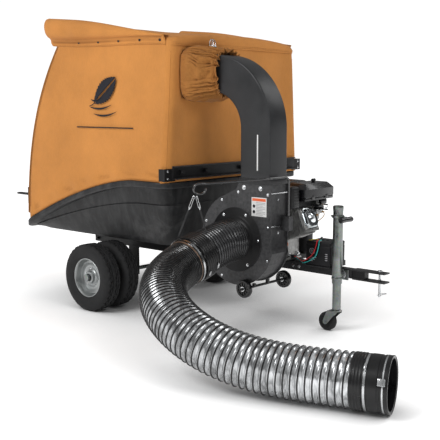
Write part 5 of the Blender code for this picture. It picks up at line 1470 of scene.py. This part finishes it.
def air_cleaner():
    """Air cleaner cover, its lower case with an embossed ring, the wing knob and the muffler shield."""
    bm = draw()
    chamfered_box(bm, (1.062, -0.120, 0.7215), (1.205, 0.160, 0.7995), 0.026, 0.030, 0.030)
    box(bm, (1.066, -0.118, 0.7055), (1.200, 0.158, 0.7225), 0.003)
    for y in (-0.045, 0.085):
        box(bm, (1.196, y - 0.013, 0.712), (1.2052, y + 0.013, 0.735), 0.002)
    piece("air_cleaner_cover", bm, "gloss_black", stands_for=("air_cleaner",), sharp=30)
    bm = box(draw(), (1.074, -0.112, 0.662), (1.1480, 0.030, 0.7050), 0.008, segments=3)
    lathe(bm, [(0.011, 0), (0.011, 0.002), (0.014, 0.003), (0.017, 0.002), (0.017, 0)],
        (1.112, -0.112, 0.684), (0, -1, 0), 32, ring=True)
    for x in (1.086, 1.094, 1.102):
        box(bm, (x + 0.050, -0.1135, 0.668), (x + 0.0535, -0.110, 0.700), 0.0008)
    piece("air_cleaner_base", bm, "black_plastic")
    at = Vector((1.130, 0.060, 0.8005))
    bm = lathe(draw(), [(0, 0), (0.0105, 0), (0.0110, 0.0020), (0.0095, 0.0060), (0.0060, 0.0130),
        (0.0055, 0.0160), (0, 0.0165)], at, (0, 0, 1), 28)
    for sign in (-1, 1):
        wing = Matrix.Translation(at + Vector((0, sign * 0.0125, 0.0115)))
        wing = wing @ Matrix.Rotation(sign * -0.35, 4, "X")
        box(bm, (-0.0028, -0.0095, -0.0058), (0.0028, 0.0085, 0.0058), 0.0024, wing)
    piece("air_cleaner_wing_knob", bm, "black_plastic", "air_cleaner_knob", ("air_cleaner_knob",))
    bm = box(draw(), (1.055, -0.208, 0.668), (1.180, -0.132, 0.790), 0.016, segments=4)
    for k in range(6):
        z = 0.690 + 0.015 * k
        box(bm, (1.078, -0.2095, z), (1.158, -0.205, z + 0.006), 0.002)
        box(bm, (1.176, -0.194, z), (1.1815, -0.146, z + 0.006), 0.002)
    piece("muffler_shield", bm, "black_paint", stands_for=("muffler",))


def carburettor():
    """Carburettor body, brass jets, bowl, springs, levers, dipstick and the small hoses round the engine."""
    bm = box(draw(), (1.100, 0.050, 0.618), (1.165, 0.112, 0.702), 0.007, segments=3)
    lathe(bm, [(0, 0.585), (0.018, 0.585), (0.0235, 0.590), (0.024, 0.612), (0.026, 0.6135), (0.026, 0.618),
        (0, 0.620)], (1.132, 0.080, 0), (0, 0, 1), 36)
    for z in (0.634, 0.655, 0.682):
        hex_bolt(bm, (1.165, 0.064, z), (1, 0, 0), 0.0045, 0.006)
    box(bm, (1.164, 0.082, 0.640), (1.176, 0.106, 0.664), 0.003)
    piece("carburettor_casting", bm, "cast_aluminium", stands_for=("carburettor",))
    bits = draw()
    hex_bolt(bits, (1.132, 0.080, 0.5855), (0, 0, -1), 0.0065, 0.008)
    for at in ((1.166, 0.092, 0.676), (1.166, 0.100, 0.628), (1.152, 0.060, 0.612)):
        lathe(bits, [(0, 0), (0.0052, 0), (0.0052, 0.006), (0.0035, 0.007), (0.0035, 0.014), (0, 0.014)],
            at, (1, 0, 0), 18)
    sweep(bits, route([(1.176, 0.100, 0.628), (1.186, 0.090, 0.610), (1.180, 0.066, 0.590),
        (1.150, 0.040, 0.560)], 0.004), 0.0024, 8)
    piece("carburettor_jets", bits, "brass")
    links = draw()
    springs = [((1.170, 0.104, 0.660), (1.196, 0.060, 0.650)), ((1.158, 0.108, 0.690), (1.176, 0.040, 0.694))]
    for a, b in springs:
        a, b = Vector(a), Vector(b)
        across = (b - a).cross(Vector((0, 0, 1))).normalized()
        up = across.cross((b - a).normalized())
        turns, count = 14, 14 * 10
        coil = []
        for k in range(count + 1):
            angle = math.tau * turns * k / count
            coil.append(a.lerp(b, k / count) + 0.0036 * (across * math.cos(angle) + up * math.sin(angle)))
        sweep(links, coil, 0.0007, 5)
    sweep(links, route([(1.182, 0.020, 0.640), (1.205, 0.030, 0.645), (1.212, 0.075, 0.655),
        (1.196, 0.110, 0.660)], 0.006), 0.0016, 8)
    for at in ((1.205, 0.030, 0.645), (1.212, 0.072, 0.655)):
        rod(links, Vector(at) - Vector((0, 0, 0.006)), Vector(at) + Vector((0, 0, 0.006)), 0.0042, 12)
    piece("governor_links", links, "bright_steel")
    arms = draw()
    prism(arms, [(1.150, 0.648), (1.206, 0.642), (1.214, 0.650), (1.206, 0.660), (1.160, 0.672),
        (1.148, 0.664)], 0.0440, 0.0465, 0.0005)
    box(arms, (1.165, 0.010, 0.664), (1.204, 0.042, 0.678), 0.003)
    box(arms, (1.172, 0.050, 0.676), (1.196, 0.104, 0.704), 0.006)
    sweep(arms, route([(1.100, 0.108, 0.640), (1.085, 0.118, 0.600), (1.090, 0.100, 0.550),
        (1.075, 0.066, 0.520)], 0.008), 0.0042, 10)
    piece("governor_arm_and_fuel_line", arms, "gloss_black")
    for name, height in (("choke_lever", 0.668), ("throttle_lever", 0.640)):
        at = Vector((1.150, 0.1125, height))
        bm = rod(draw(), at, at + Vector((0, 0.010, 0)), 0.008, 24)
        prism(bm, [(at.x, height - 0.003), (at.x + 0.034, height - 0.003), (at.x + 0.040, height - 0.0045),
            (at.x + 0.042, height), (at.x + 0.040, height + 0.0045), (at.x + 0.034, height + 0.003),
            (at.x, height + 0.003)], at.y + 0.002, at.y + 0.008, 0.0006)
        piece(f"{name}_moulding", bm, "black_plastic", name, (name,))

    def fluted(k, i):
        return 0.94 if k % 4 == 0 and 1 < i < 4 else 1.0

    bm = lathe(draw(), [(0, 0), (0.0150, 0), (0.0170, 0.0055), (0.0170, 0.0180), (0.0155, 0.0205),
        (0.0120, 0.0235), (0, 0.0240)], (1.056, -0.115, 0.455), (1, 0, 0), 48, shape=fluted)
    piece("oil_dipstick_cap", bm, "orange_plastic", stands_for=("oil_dipstick",))
    drain = draw()
    for y in (-0.060, 0.020):
        hex_bolt(drain, (1.0565, y, 0.385), (1, 0, 0), 0.0075, 0.009)
    piece("oil_drain_plugs", drain, "bright_steel")


def battery():
    """Starter battery in its tray, with plain marks, posts, and its coloured leads."""
    low, high = Vector((1.190, -0.088, 0.353)), Vector((1.350, 0.060, 0.486))
    bm = box(draw(), low, (high.x, high.y, 0.4640), 0.005, segments=3)
    box(bm, (low.x, low.y, 0.4655), high, 0.005, segments=3)
    box(bm, (low.x + 0.002, low.y + 0.002, 0.460), (high.x - 0.002, high.y - 0.002, 0.470))
    for x in (1.215, 1.245, 1.275, 1.305, 1.330):
        lathe(bm, [(0, 0), (0.0085, 0), (0.0085, 0.0022), (0.007, 0.003), (0, 0.003)],
            (x, 0.0, high.z - 0.001), (0, 0, 1), 24)
    piece("battery_case", bm, "black_plastic", stands_for=("battery",))
    marks = draw()
    at = Vector((1.232, low.y - 0.0002, 0.432))
    for inner, outer, steps in ((0.0150, 0.0172, 40), (0.0060, 0.0078, 30)):
        lathe(marks, [(inner, 0), (inner, 0.0006), (outer, 0.0006), (outer, 0)], at, (0, -1, 0), steps,
            ring=True)
    for k in range(3):
        box(marks, (1.214, low.y - 0.0008, 0.396 - 0.010 * k),
            (1.262 - 0.012 * k, low.y - 0.0001, 0.399 - 0.010 * k))
    for k in range(4):
        box(marks, (1.318, low.y - 0.0008, 0.420 - 0.011 * k), (1.334, low.y - 0.0001, 0.425 - 0.011 * k))
    piece("battery_marks", marks, "label_grey", sharp=0)
    posts = draw()
    for x, y in ((1.270, -0.060), (1.215, 0.030)):
        lathe(posts, [(0, 0), (0.0072, 0), (0.0064, 0.0095), (0.0050, 0.0105), (0, 0.0105)],
            (x, y, high.z - 0.0005), (0, 0, 1), 24)
    piece("battery_posts", posts, "bright_steel")
    y = low.y - 0.009
    runs = {"lead_red": [(1.270, -0.0715, 0.496), (1.270, y + 0.002, 0.494), (1.266, y - 0.001, 0.470),
        (1.245, y, 0.420), (1.205, y, 0.385), (1.176, y + 0.004, 0.371), (1.150, -0.072, 0.366),
        (1.120, -0.050, 0.368), (1.095, -0.044, 0.376), (1.070, -0.046, 0.379)],
        "lead_teal": [(1.284, -0.0715, 0.496), (1.284, y + 0.002, 0.494), (1.282, y - 0.001, 0.466),
        (1.262, y, 0.408), (1.215, y, 0.374), (1.178, y + 0.006, 0.360), (1.150, -0.064, 0.356),
        (1.120, -0.042, 0.359), (1.095, -0.034, 0.366), (1.070, -0.035, 0.370)]}
    piece("lead_plug", box(draw(), (1.0635, -0.056, 0.364), (1.080, -0.026, 0.386), 0.003), "black_plastic",
        stands_for=("battery_leads",))
    for name, points in runs.items():
        path = route(points, 0.006)
        lead = piece(f"battery_{name}", sweep(draw(), path, 0.0024, 10), name)
        length = sum((b - a).length for a, b in zip(path, path[1:]))
    yellow = route([(1.262, -0.070, 0.497), (1.240, -0.086, 0.498), (1.222, -0.086, 0.493),
        (1.205, -0.080, 0.490)], 0.005)
    piece("battery_lead_yellow", sweep(draw(), yellow, 0.0016, 8), "lead_yellow")


# ---------------------------------------------------------------- hose and boom

def hose_runs():
    """The hose's centre line, split at the coupling into its upper and lower run."""
    coarse = route(HOSE_ROUTE, 0.070)
    joint = min(range(len(coarse)), key=lambda i: abs(coarse[i].y - COUPLING_Y))
    at, along = coarse[joint], (coarse[joint + 1] - coarse[joint - 1]).normalized()
    fine = route(HOSE_ROUTE, 0.0025)
    upper = [p for p in fine if (p - at).dot(along) < -0.004 and p.y > -0.80]
    lower = [p for p in fine if (p - at).dot(along) > 0.004 or p.y < -0.80]
    return upper, lower, at, along


def lengths(path):
    """Distance travelled at each point of a path."""
    out = [0.0]
    for a, b in zip(path, path[1:]):
        out.append(out[-1] + (b - a).length)
    return out


def pitch_along(settings, share, run):
    """Distance between ribs: packed together near the blower, stretched towards the nozzle."""
    if run == "upper":
        return 0.0170
    return 0.0165 + (settings.rib_pitch - 0.0165) * smooth(0.10, 0.70, share)


def hose_run(settings, run, path, nodes):
    """One run: a clear wall that dips between a black helical rib."""
    along = lengths(path)
    total, phase, phases = along[-1], 0.0, []
    for i, s in enumerate(along):
        if i:
            phase += math.tau * (s - along[i - 1]) / pitch_along(settings, s / total, run)
        phases.append(phase)
    rib = settings.rib_radius
    crest = HOSE_RADIUS - rib

    def wall_radius(i, a):
        wave = 0.5 + 0.5 * math.cos(phases[i] - a)
        return crest - 0.0070 + 0.0062 * wave ** 0.7

    bm = sweep(draw(), path, wall_radius, 56, caps=False)
    piece(f"hose_{run}_wall", bm, "hose_wall_dark" if run == "upper" else "hose_wall",
        stands_for=nodes, sharp=0, thickness=0.0015)
    stations_along = frames(path)
    helix, step = [], math.tau / 30
    target, i = 0.0, 0
    while target < phases[-1]:
        while phases[i + 1] < target:
            i += 1
        t = (target - phases[i]) / max(1e-9, phases[i + 1] - phases[i])
        p0, s0, u0 = stations_along[i]
        p1, s1, u1 = stations_along[i + 1]
        p, side, up = p0.lerp(p1, t), s0.lerp(s1, t).normalized(), u0.lerp(u1, t).normalized()
        helix.append(p + crest * (side * math.cos(target) + up * math.sin(target)))
        target += step
    piece(f"hose_{run}_rib", sweep(draw(), helix, rib, 8), "hose_rib", sharp=0)


def worm_clamp(bm, at, along, radius, width, head_angle):
    """Clamp band with its screw housing."""
    rows = [(radius, -width / 2), (radius + 0.0012, -width / 2), (radius + 0.0012, width / 2),
        (radius, width / 2)]
    lathe(bm, rows, at, along, 80, ring=True)
    side = along.cross(Vector((0, 0, 1))).normalized()
    up = side.cross(along)
    out = side * math.cos(head_angle) + up * math.sin(head_angle)
    tangent = along.cross(out)
    basis = Matrix((tangent, along, out)).transposed().to_4x4()
    place = Matrix.Translation(at + out * (radius + 0.0035)) @ basis
    box(bm, (-0.013, -width * 0.62, -0.0030), (0.011, width * 0.62, 0.0050), 0.0018, place)
    lathe(bm, [(0, 0), (0.0042, 0), (0.0042, 0.008), (0, 0.009)], place @ Vector((0.010, 0, 0.001)),
        tangent, 12)


def hose(settings):
    """Both runs of the hose, its coupling with bands and clamps, and the nozzle."""
    upper, lower, at, along = hose_runs()
    hose_run(settings, "upper", upper, ("hose_upper",))
    hose_run(settings, "lower", lower, ("hose_lower",))
    cuff = [at + along * (-0.045 + 0.090 * k / 60) for k in range(61)]

    def cuff_radius(i, a):
        return HOSE_RADIUS + 0.0068 + 0.0030 * abs(math.sin(math.pi * i / 10)) ** 0.6

    bm = sweep(draw(), cuff, cuff_radius, 80, caps=False)
    piece("hose_coupling_sleeve", bm, "coupling_rubber", stands_for=("hose_coupling",),
        thickness=0.0020)
    clamps, bands = draw(), draw()
    for shift, angle in ((-0.030, math.radians(200)), (0.030, math.radians(208))):
        worm_clamp(clamps, at + along * shift, along, HOSE_RADIUS + 0.0092, 0.011, angle)
    for shift in (-0.0455, 0.0455):
        lathe(bands, [(HOSE_RADIUS + 0.0005, -0.005), (HOSE_RADIUS + 0.0055, -0.005),
            (HOSE_RADIUS + 0.0055, 0.005), (HOSE_RADIUS + 0.0005, 0.005)], at + along * shift, along, 80,
            ring=True)
    piece("hose_coupling_clamps", clamps, "bright_steel")
    piece("hose_coupling_bands", bands, "clamp_band")
    nozzle(lower)


def nozzle(lower):
    """Nozzle collar: black cuff with a stepped rim, a clamp over the hose end and a latched band."""
    ahead = (lower[-1] - lower[-2]).normalized()
    start = lower[-1] + ahead * 0.001
    inner, outer = HOSE_RADIUS - 0.012, HOSE_RADIUS + 0.001
    profile = [(inner, 0.0), (outer - 0.004, 0.0), (outer - 0.003, 0.003), (outer - 0.003, 0.018),
        (outer - 0.001, 0.020), (outer - 0.0012, 0.060), (outer - 0.0035, 0.062), (outer - 0.0035, 0.070),
        (outer - 0.0012, 0.072), (outer - 0.0012, 0.099), (outer, 0.100), (outer, 0.104),
        (outer - 0.001, 0.105), (outer - 0.006, 0.105), (outer - 0.008, 0.103), (inner, 0.102)]
    piece("nozzle_collar", lathe(draw(), profile, start, ahead, 96, ring=True), "coupling_rubber",
        stands_for=("hose_nozzle",), sharp=40)
    crest = HOSE_RADIUS - 0.0010
    cuff = [(crest - 0.003, -0.052), (crest, -0.052)]
    for k in range(4):
        cuff += [(crest, -0.050 + 0.013 * k), (crest + 0.0016, -0.048 + 0.013 * k),
            (crest + 0.0016, -0.043 + 0.013 * k), (crest, -0.041 + 0.013 * k)]
    cuff.append((crest - 0.003, -0.002))
    piece("nozzle_cuff", lathe(draw(), cuff, start, ahead, 96, ring=True), "coupling_rubber",
        sharp=40)
    clamp = draw()
    worm_clamp(clamp, start + ahead * 0.010, ahead, outer - 0.0030, 0.009, math.radians(48))
    worm_clamp(clamp, start + ahead * 0.084, ahead, outer - 0.0012, 0.006, math.radians(172))
    piece("nozzle_clamps", clamp, "bright_steel")
    latch = draw()
    side = ahead.cross(Vector((0, 0, 1))).normalized()
    up = side.cross(ahead)
    for degrees in (196, 20):
        out = side * math.cos(math.radians(degrees)) + up * math.sin(math.radians(degrees))
        basis = Matrix((ahead.cross(out), ahead, out)).transposed().to_4x4()
        place = Matrix.Translation(start + ahead * 0.080 + out * (outer - 0.0008)) @ basis
        box(latch, (-0.014, -0.016, 0), (0.014, 0.016, 0.0022), 0.0008, place)
        rod(latch, place @ Vector((-0.016, 0.010, 0.003)), place @ Vector((0.016, 0.010, 0.003)), 0.0018, 10)
    piece("nozzle_latches", latch, "bright_steel")


def boom_path():
    """Bent rod from its socket on the blower, up, forward and down to the strap loop."""
    x, y, top = 1.197, -0.262, 0.850
    loop = Vector((0.945, -0.690, 0.824))
    coarse = [(x, y, 0.585), (x, y, 0.700), (x, y, top - 0.030), (x - 0.002, y - 0.010, top - 0.006),
        (x - 0.006, y - 0.035, top), (x - 0.012, y - 0.130, top), (x - 0.030, y - 0.180, top - 0.001)]
    path = [Vector(p) for p in coarse] + [loop + Vector((0.045, 0.060, 0.006))]
    across = Vector((-0.60, -0.80, 0)).normalized()
    for k in range(9):
        a = math.radians(80 + 285 * k / 8) - math.pi / 2
        path.append(loop + across * 0.032 * math.sin(a) + Vector((0, 0, 0.028 * math.cos(a) - 0.022)))
    return path


def boom():
    """Hose boom and the two straps with snap hooks that hang the hose from it."""
    coarse = boom_path()
    piece("hose_boom_rod", sweep(draw(), route(coarse, 0.010), 0.0060, 16), "rod_black", "boom",
        ("hose_boom",))
    hook_low = coarse[-5] + Vector((0, 0, -0.012))
    for side, foot, push in (("front", (0.985, -0.680, 0.566), 0.006),
            ("rear", (0.868, -0.770, 0.556), -0.006)):
        foot = Vector(foot)
        tip = hook_low + (foot - hook_low).normalized() * 0.006 + Vector((push, 0, 0))
        strap_top = tip.lerp(foot, 0.30)
        bm = draw()
        along = (strap_top - foot).normalized()
        flat = along.cross(Vector((0.6, -0.8, 0))).normalized()
        thin = flat.cross(along)
        section = ((-1, -1), (0, -1.2), (1, -1), (1, 1), (0, 1.2), (-1, 1))
        rows = []
        for k in range(13):
            p = foot.lerp(strap_top, k / 12)
            twist = 0.3 * math.sin(k * 0.5)
            w = flat * math.cos(twist) + thin * math.sin(twist)
            t = thin * math.cos(twist) - flat * math.sin(twist)
            rows.append([bm.verts.new(p + w * a * 0.0045 + t * b * 0.0012) for a, b in section])
        capped_loft(bm, rows)
        strap = piece(f"hose_strap_{side}_webbing", bm, "strap_webbing", None, (f"hose_strap_{side}",))
        bm = draw()
        bends = ((-0.12, 0.0), (0.0, 0.9), (0.25, 1.0), (0.6, 0.8), (0.9, 0.9), (1.02, 0.2), (0.92, -0.7),
            (0.6, -0.8), (0.3, -0.9), (0.05, -0.9), (-0.10, 0.0))
        hook = [strap_top + (tip - strap_top) * s + flat * 0.0052 * w for s, w in bends]
        sweep(bm, route(hook, 0.004), 0.0020, 8)
        rod(bm, strap_top - (tip - strap_top) * 0.16, strap_top + (tip - strap_top) * 0.10, 0.0036, 14)
        snap = piece(f"hose_strap_{side}_hook", bm, "bright_steel", None)
        for obj in (strap, snap):
            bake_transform(obj)


# ---------------------------------------------------------------- stage

def studio_floor(settings):
    """Pale floor that glows where nothing stands over it, so the far edge is white and shadows stay soft."""
    mesh = bpy.data.meshes.new("studio_floor")
    bm = bmesh.new()
    bmesh.ops.create_grid(bm, x_segments=1, y_segments=1, size=80.0)
    bm.to_mesh(mesh)
    bm.free()
    floor = bpy.data.objects.new("studio_floor", mesh)
    bpy.context.scene.collection.objects.link(floor)
    floor.location.z = -0.0005
    s = Surface("studio_floor", 0.9, Specular_IOR_Level=0.1)
    s.colour(s.ramp(s.noise(0.6, 2.0), (0.3, tint(tuple(settings.floor_colour), 0.99)),
        (0.7, tuple(settings.floor_colour))))
    open_sky = s.nodes.new("ShaderNodeAmbientOcclusion")
    s.set(open_sky, Distance=settings.shadow_reach)
    open_sky.samples = 8
    s.set(s.shader, **{"Emission Color": (1, 1, 1, 1)})
    glow = s.math("MULTIPLY", s.math("POWER", open_sky.outputs["AO"], settings.shadow_depth),
        settings.floor_lift)
    s.join(glow, s.shader, "Emission Strength")
    mesh.materials.append(FINISH["studio_floor"])


def studio_sky(settings):
    """White all round for the eye; for lighting, a soft sky, brightest up and to the machine's right rear."""
    world = bpy.data.worlds.new("studio")
    bpy.context.scene.world = world
    world.use_nodes = True
    nodes, links = world.node_tree.nodes, world.node_tree.links
    background = nodes["Background"]
    background.inputs["Color"].default_value = (1, 1, 1, 1)
    facing = nodes.new("ShaderNodeVectorMath")
    facing.operation = "DOT_PRODUCT"
    facing.inputs[1].default_value = Vector((-0.55, -0.45, 0.70)).normalized()
    links.new(nodes.new("ShaderNodeTexCoord").outputs["Generated"], facing.inputs[0])
    glow = nodes.new("ShaderNodeMapRange")
    for socket, value in (("From Min", -0.4), ("From Max", 1.0), ("To Min", settings.sky_low),
            ("To Max", settings.sky_high)):
        glow.inputs[socket].default_value = value
    links.new(facing.outputs["Value"], glow.inputs["Value"])
    seen = nodes.new("ShaderNodeMix")
    seen.inputs[3].default_value = 1.05
    links.new(nodes.new("ShaderNodeLightPath").outputs["Is Camera Ray"], seen.inputs[0])
    links.new(glow.outputs["Result"], seen.inputs[2])
    links.new(seen.outputs[0], background.inputs["Strength"])


def stage(settings):
    """Pale floor, soft lights and the camera."""
    studio_floor(settings)
    studio_sky(settings)
    heart = Vector((0.5, -0.2, 0.7)) + MACHINE
    for name, offset, size, share in (("key_softbox", (-0.4, -5.0, 4.0), 2.4, 1.0),
            ("fill_softbox", (5.4, -0.6, 3.6), 2.4, 0.46), ("rear_softbox", (2.5, 4.8, 3.8), 2.4, 0.35)):
        light = bpy.data.lights.new(name, "AREA")
        light.shape, light.size, light.energy = "SQUARE", size, settings.key_power * share
        lamp = bpy.data.objects.new(name, light)
        lamp.location = heart + Vector(offset)
        lamp.rotation_euler = (-Vector(offset)).to_track_quat("-Z", "Y").to_euler()
        bpy.context.scene.collection.objects.link(lamp)

    data = bpy.data.cameras.new("camera")
    data.lens, data.sensor_width = settings.lens, 36.0
    data.clip_start, data.clip_end = 0.05, 200.0
    camera = bpy.data.objects.new("camera", data)
    camera.location = MACHINE + Vector(CAMERA_PLACE)
    yaw, pitch = math.radians(CAMERA_YAW), math.radians(CAMERA_PITCH)
    aim = Vector((-math.sin(yaw) * math.cos(pitch), math.cos(yaw) * math.cos(pitch), -math.sin(pitch)))
    camera.rotation_euler = aim.to_track_quat("-Z", "Y").to_euler()
    bpy.context.scene.collection.objects.link(camera)
    bpy.context.scene.camera = camera
    bpy.context.scene.view_settings.view_transform = "Standard"


# ---------------------------------------------------------------- the add-on

class FinishSettings(bpy.types.PropertyGroup):
    canvas_colour: FloatVectorProperty(name="Canvas colour",
        description="Waxed duck of hood, door and sleeve", subtype="COLOR", default=(0.505, 0.212, 0.055),
        min=0, max=1)
    hose_colour: FloatVectorProperty(name="Hose wall colour", description="Clear wall over the dark inside",
        subtype="COLOR", default=(0.40, 0.41, 0.42), min=0, max=1)


class GearSettings(bpy.types.PropertyGroup):
    tread_depth: FloatProperty(name="Tread depth", description="Depth of the tyre grooves", default=0.0075,
        unit="LENGTH")


class HoodSettings(bpy.types.PropertyGroup):
    hem_wrinkle: FloatProperty(name="Hem wrinkle", description="Height of the folds along the hem",
        default=0.011, unit="LENGTH")
    sleeve_gather: FloatProperty(name="Sleeve gather",
        description="Depth of the gathers at the sleeve's elastic", default=0.0120, unit="LENGTH")


class EngineSettings(bpy.types.PropertyGroup):
    fins: IntProperty(name="Cylinder fins", description="Number of cooling fins round the barrel",
        default=11, min=4, max=20)


class HoseSettings(bpy.types.PropertyGroup):
    rib_radius: FloatProperty(name="Rib radius", description="Half thickness of the helical rib",
        default=0.0038, unit="LENGTH")
    rib_pitch: FloatProperty(name="Rib pitch",
        description="Distance between ribs where the hose is stretched", default=0.031, unit="LENGTH")


class StageSettings(bpy.types.PropertyGroup):
    floor_colour: FloatVectorProperty(name="Floor colour", description="Colour of the studio floor",
        subtype="COLOR", default=(0.80, 0.80, 0.80), min=0, max=1)
    floor_lift: FloatProperty(name="Floor lift", description="Glow that keeps the open floor white",
        default=0.85)
    shadow_reach: FloatProperty(name="Shadow reach", description="How far the soft contact shadow spreads",
        default=1.6, unit="LENGTH")
    shadow_depth: FloatProperty(name="Shadow depth",
        description="How quickly the floor darkens under things", default=2.2)
    sky_low: FloatProperty(name="Low sky", description="Strength of the sky away from the key", default=0.05)
    sky_high: FloatProperty(name="High sky", description="Strength of the sky on the key's side",
        default=0.55)
    key_power: FloatProperty(name="Key power", description="Power of the main softbox in watts",
        default=188.0)
    lens: FloatProperty(name="Lens", description="Focal length of the camera", default=69.57, unit="CAMERA")


class MULCHER_OT_finishes(bpy.types.Operator):
    """Make the procedural materials of every surface"""
    bl_idname, bl_label = "mulcher.finishes", "Finishes"

    def execute(self, context):
        finishes(context.scene.mulcher_finish)
        return {"FINISHED"}


class MULCHER_OT_wheels(bpy.types.Operator):
    """Build the four tyres and pressed rims"""
    bl_idname, bl_label = "mulcher.wheels", "Wheels"

    def execute(self, context):
        wheels(context.scene.mulcher_gear)
        return {"FINISHED"}


class MULCHER_OT_chassis(bpy.types.Operator):
    """Finish the axle, tongue, frame and hitch"""
    bl_idname, bl_label = "mulcher.chassis", "Chassis and hitch"

    def execute(self, context):
        chassis()
        stand()
        return {"FINISHED"}


class MULCHER_OT_jack(bpy.types.Operator):
    """Build the swivel jack and its caster"""
    bl_idname, bl_label = "mulcher.jack", "Jack"

    def execute(self, context):
        jack()
        return {"FINISHED"}


class MULCHER_OT_tub(bpy.types.Operator):
    """Build the moulded tub"""
    bl_idname, bl_label = "mulcher.tub", "Tub"

    def execute(self, context):
        tub()
        return {"FINISHED"}


class MULCHER_OT_hood(bpy.types.Operator):
    """Sew the canvas hood, its door and its inlet sleeve"""
    bl_idname, bl_label = "mulcher.hood", "Canvas hood"

    def execute(self, context):
        hood(context.scene.mulcher_hood)
        return {"FINISHED"}


class MULCHER_OT_blower(bpy.types.Operator):
    """Build the blower housing and its discharge chute"""
    bl_idname, bl_label = "mulcher.blower", "Blower and chute"

    def execute(self, context):
        blower()
        chute()
        return {"FINISHED"}


class MULCHER_OT_engine(bpy.types.Operator):
    """Build the engine and the starter battery"""
    bl_idname, bl_label = "mulcher.engine", "Engine and battery"

    def execute(self, context):
        engine(context.scene.mulcher_engine)
        battery()
        return {"FINISHED"}


class MULCHER_OT_hose(bpy.types.Operator):
    """Build the suction hose, its couplings, the boom and its straps"""
    bl_idname, bl_label = "mulcher.hose", "Hose and boom"

    def execute(self, context):
        hose(context.scene.mulcher_hose)
        boom()
        return {"FINISHED"}


class MULCHER_OT_stage(bpy.types.Operator):
    """Set up the floor, the lights and the camera"""
    bl_idname, bl_label = "mulcher.stage", "Stage"

    def execute(self, context):
        stage(context.scene.mulcher_stage)
        return {"FINISHED"}


OPERATORS = (MULCHER_OT_finishes, MULCHER_OT_stage, MULCHER_OT_wheels, MULCHER_OT_chassis, MULCHER_OT_jack,
    MULCHER_OT_tub, MULCHER_OT_hood, MULCHER_OT_blower, MULCHER_OT_engine, MULCHER_OT_hose)
SETTINGS = {"mulcher_finish": FinishSettings, "mulcher_gear": GearSettings, "mulcher_hood": HoodSettings,
    "mulcher_engine": EngineSettings, "mulcher_hose": HoseSettings, "mulcher_stage": StageSettings}


class MULCHER_PT_panel(bpy.types.Panel):
    """Lists the machine's pieces and the stage"""
    bl_idname, bl_label = "MULCHER_PT_panel", "Leaf Vacuum Mulcher"
    bl_space_type, bl_region_type, bl_category = "VIEW_3D", "UI", "Mulcher"

    def draw(self, context):
        for name, group in SETTINGS.items():
            settings = getattr(context.scene, name)
            for prop in group.__annotations__:
                self.layout.prop(settings, prop)
        for operator in OPERATORS:
            self.layout.operator(operator.bl_idname)


def register():
    for cls in (*SETTINGS.values(), *OPERATORS, MULCHER_PT_panel):
        bpy.utils.register_class(cls)
    for name, group in SETTINGS.items():
        setattr(bpy.types.Scene, name, PointerProperty(type=group))


def unregister():
    for name in SETTINGS:
        delattr(bpy.types.Scene, name)
    for cls in (MULCHER_PT_panel, *reversed(OPERATORS), *reversed(list(SETTINGS.values()))):
        bpy.utils.unregister_class(cls)


def main():
    register()
    for operator in OPERATORS:
        name = operator.bl_idname.split(".")[1]
        getattr(bpy.ops.mulcher, name)()


if __name__ == "__main__":
    main()
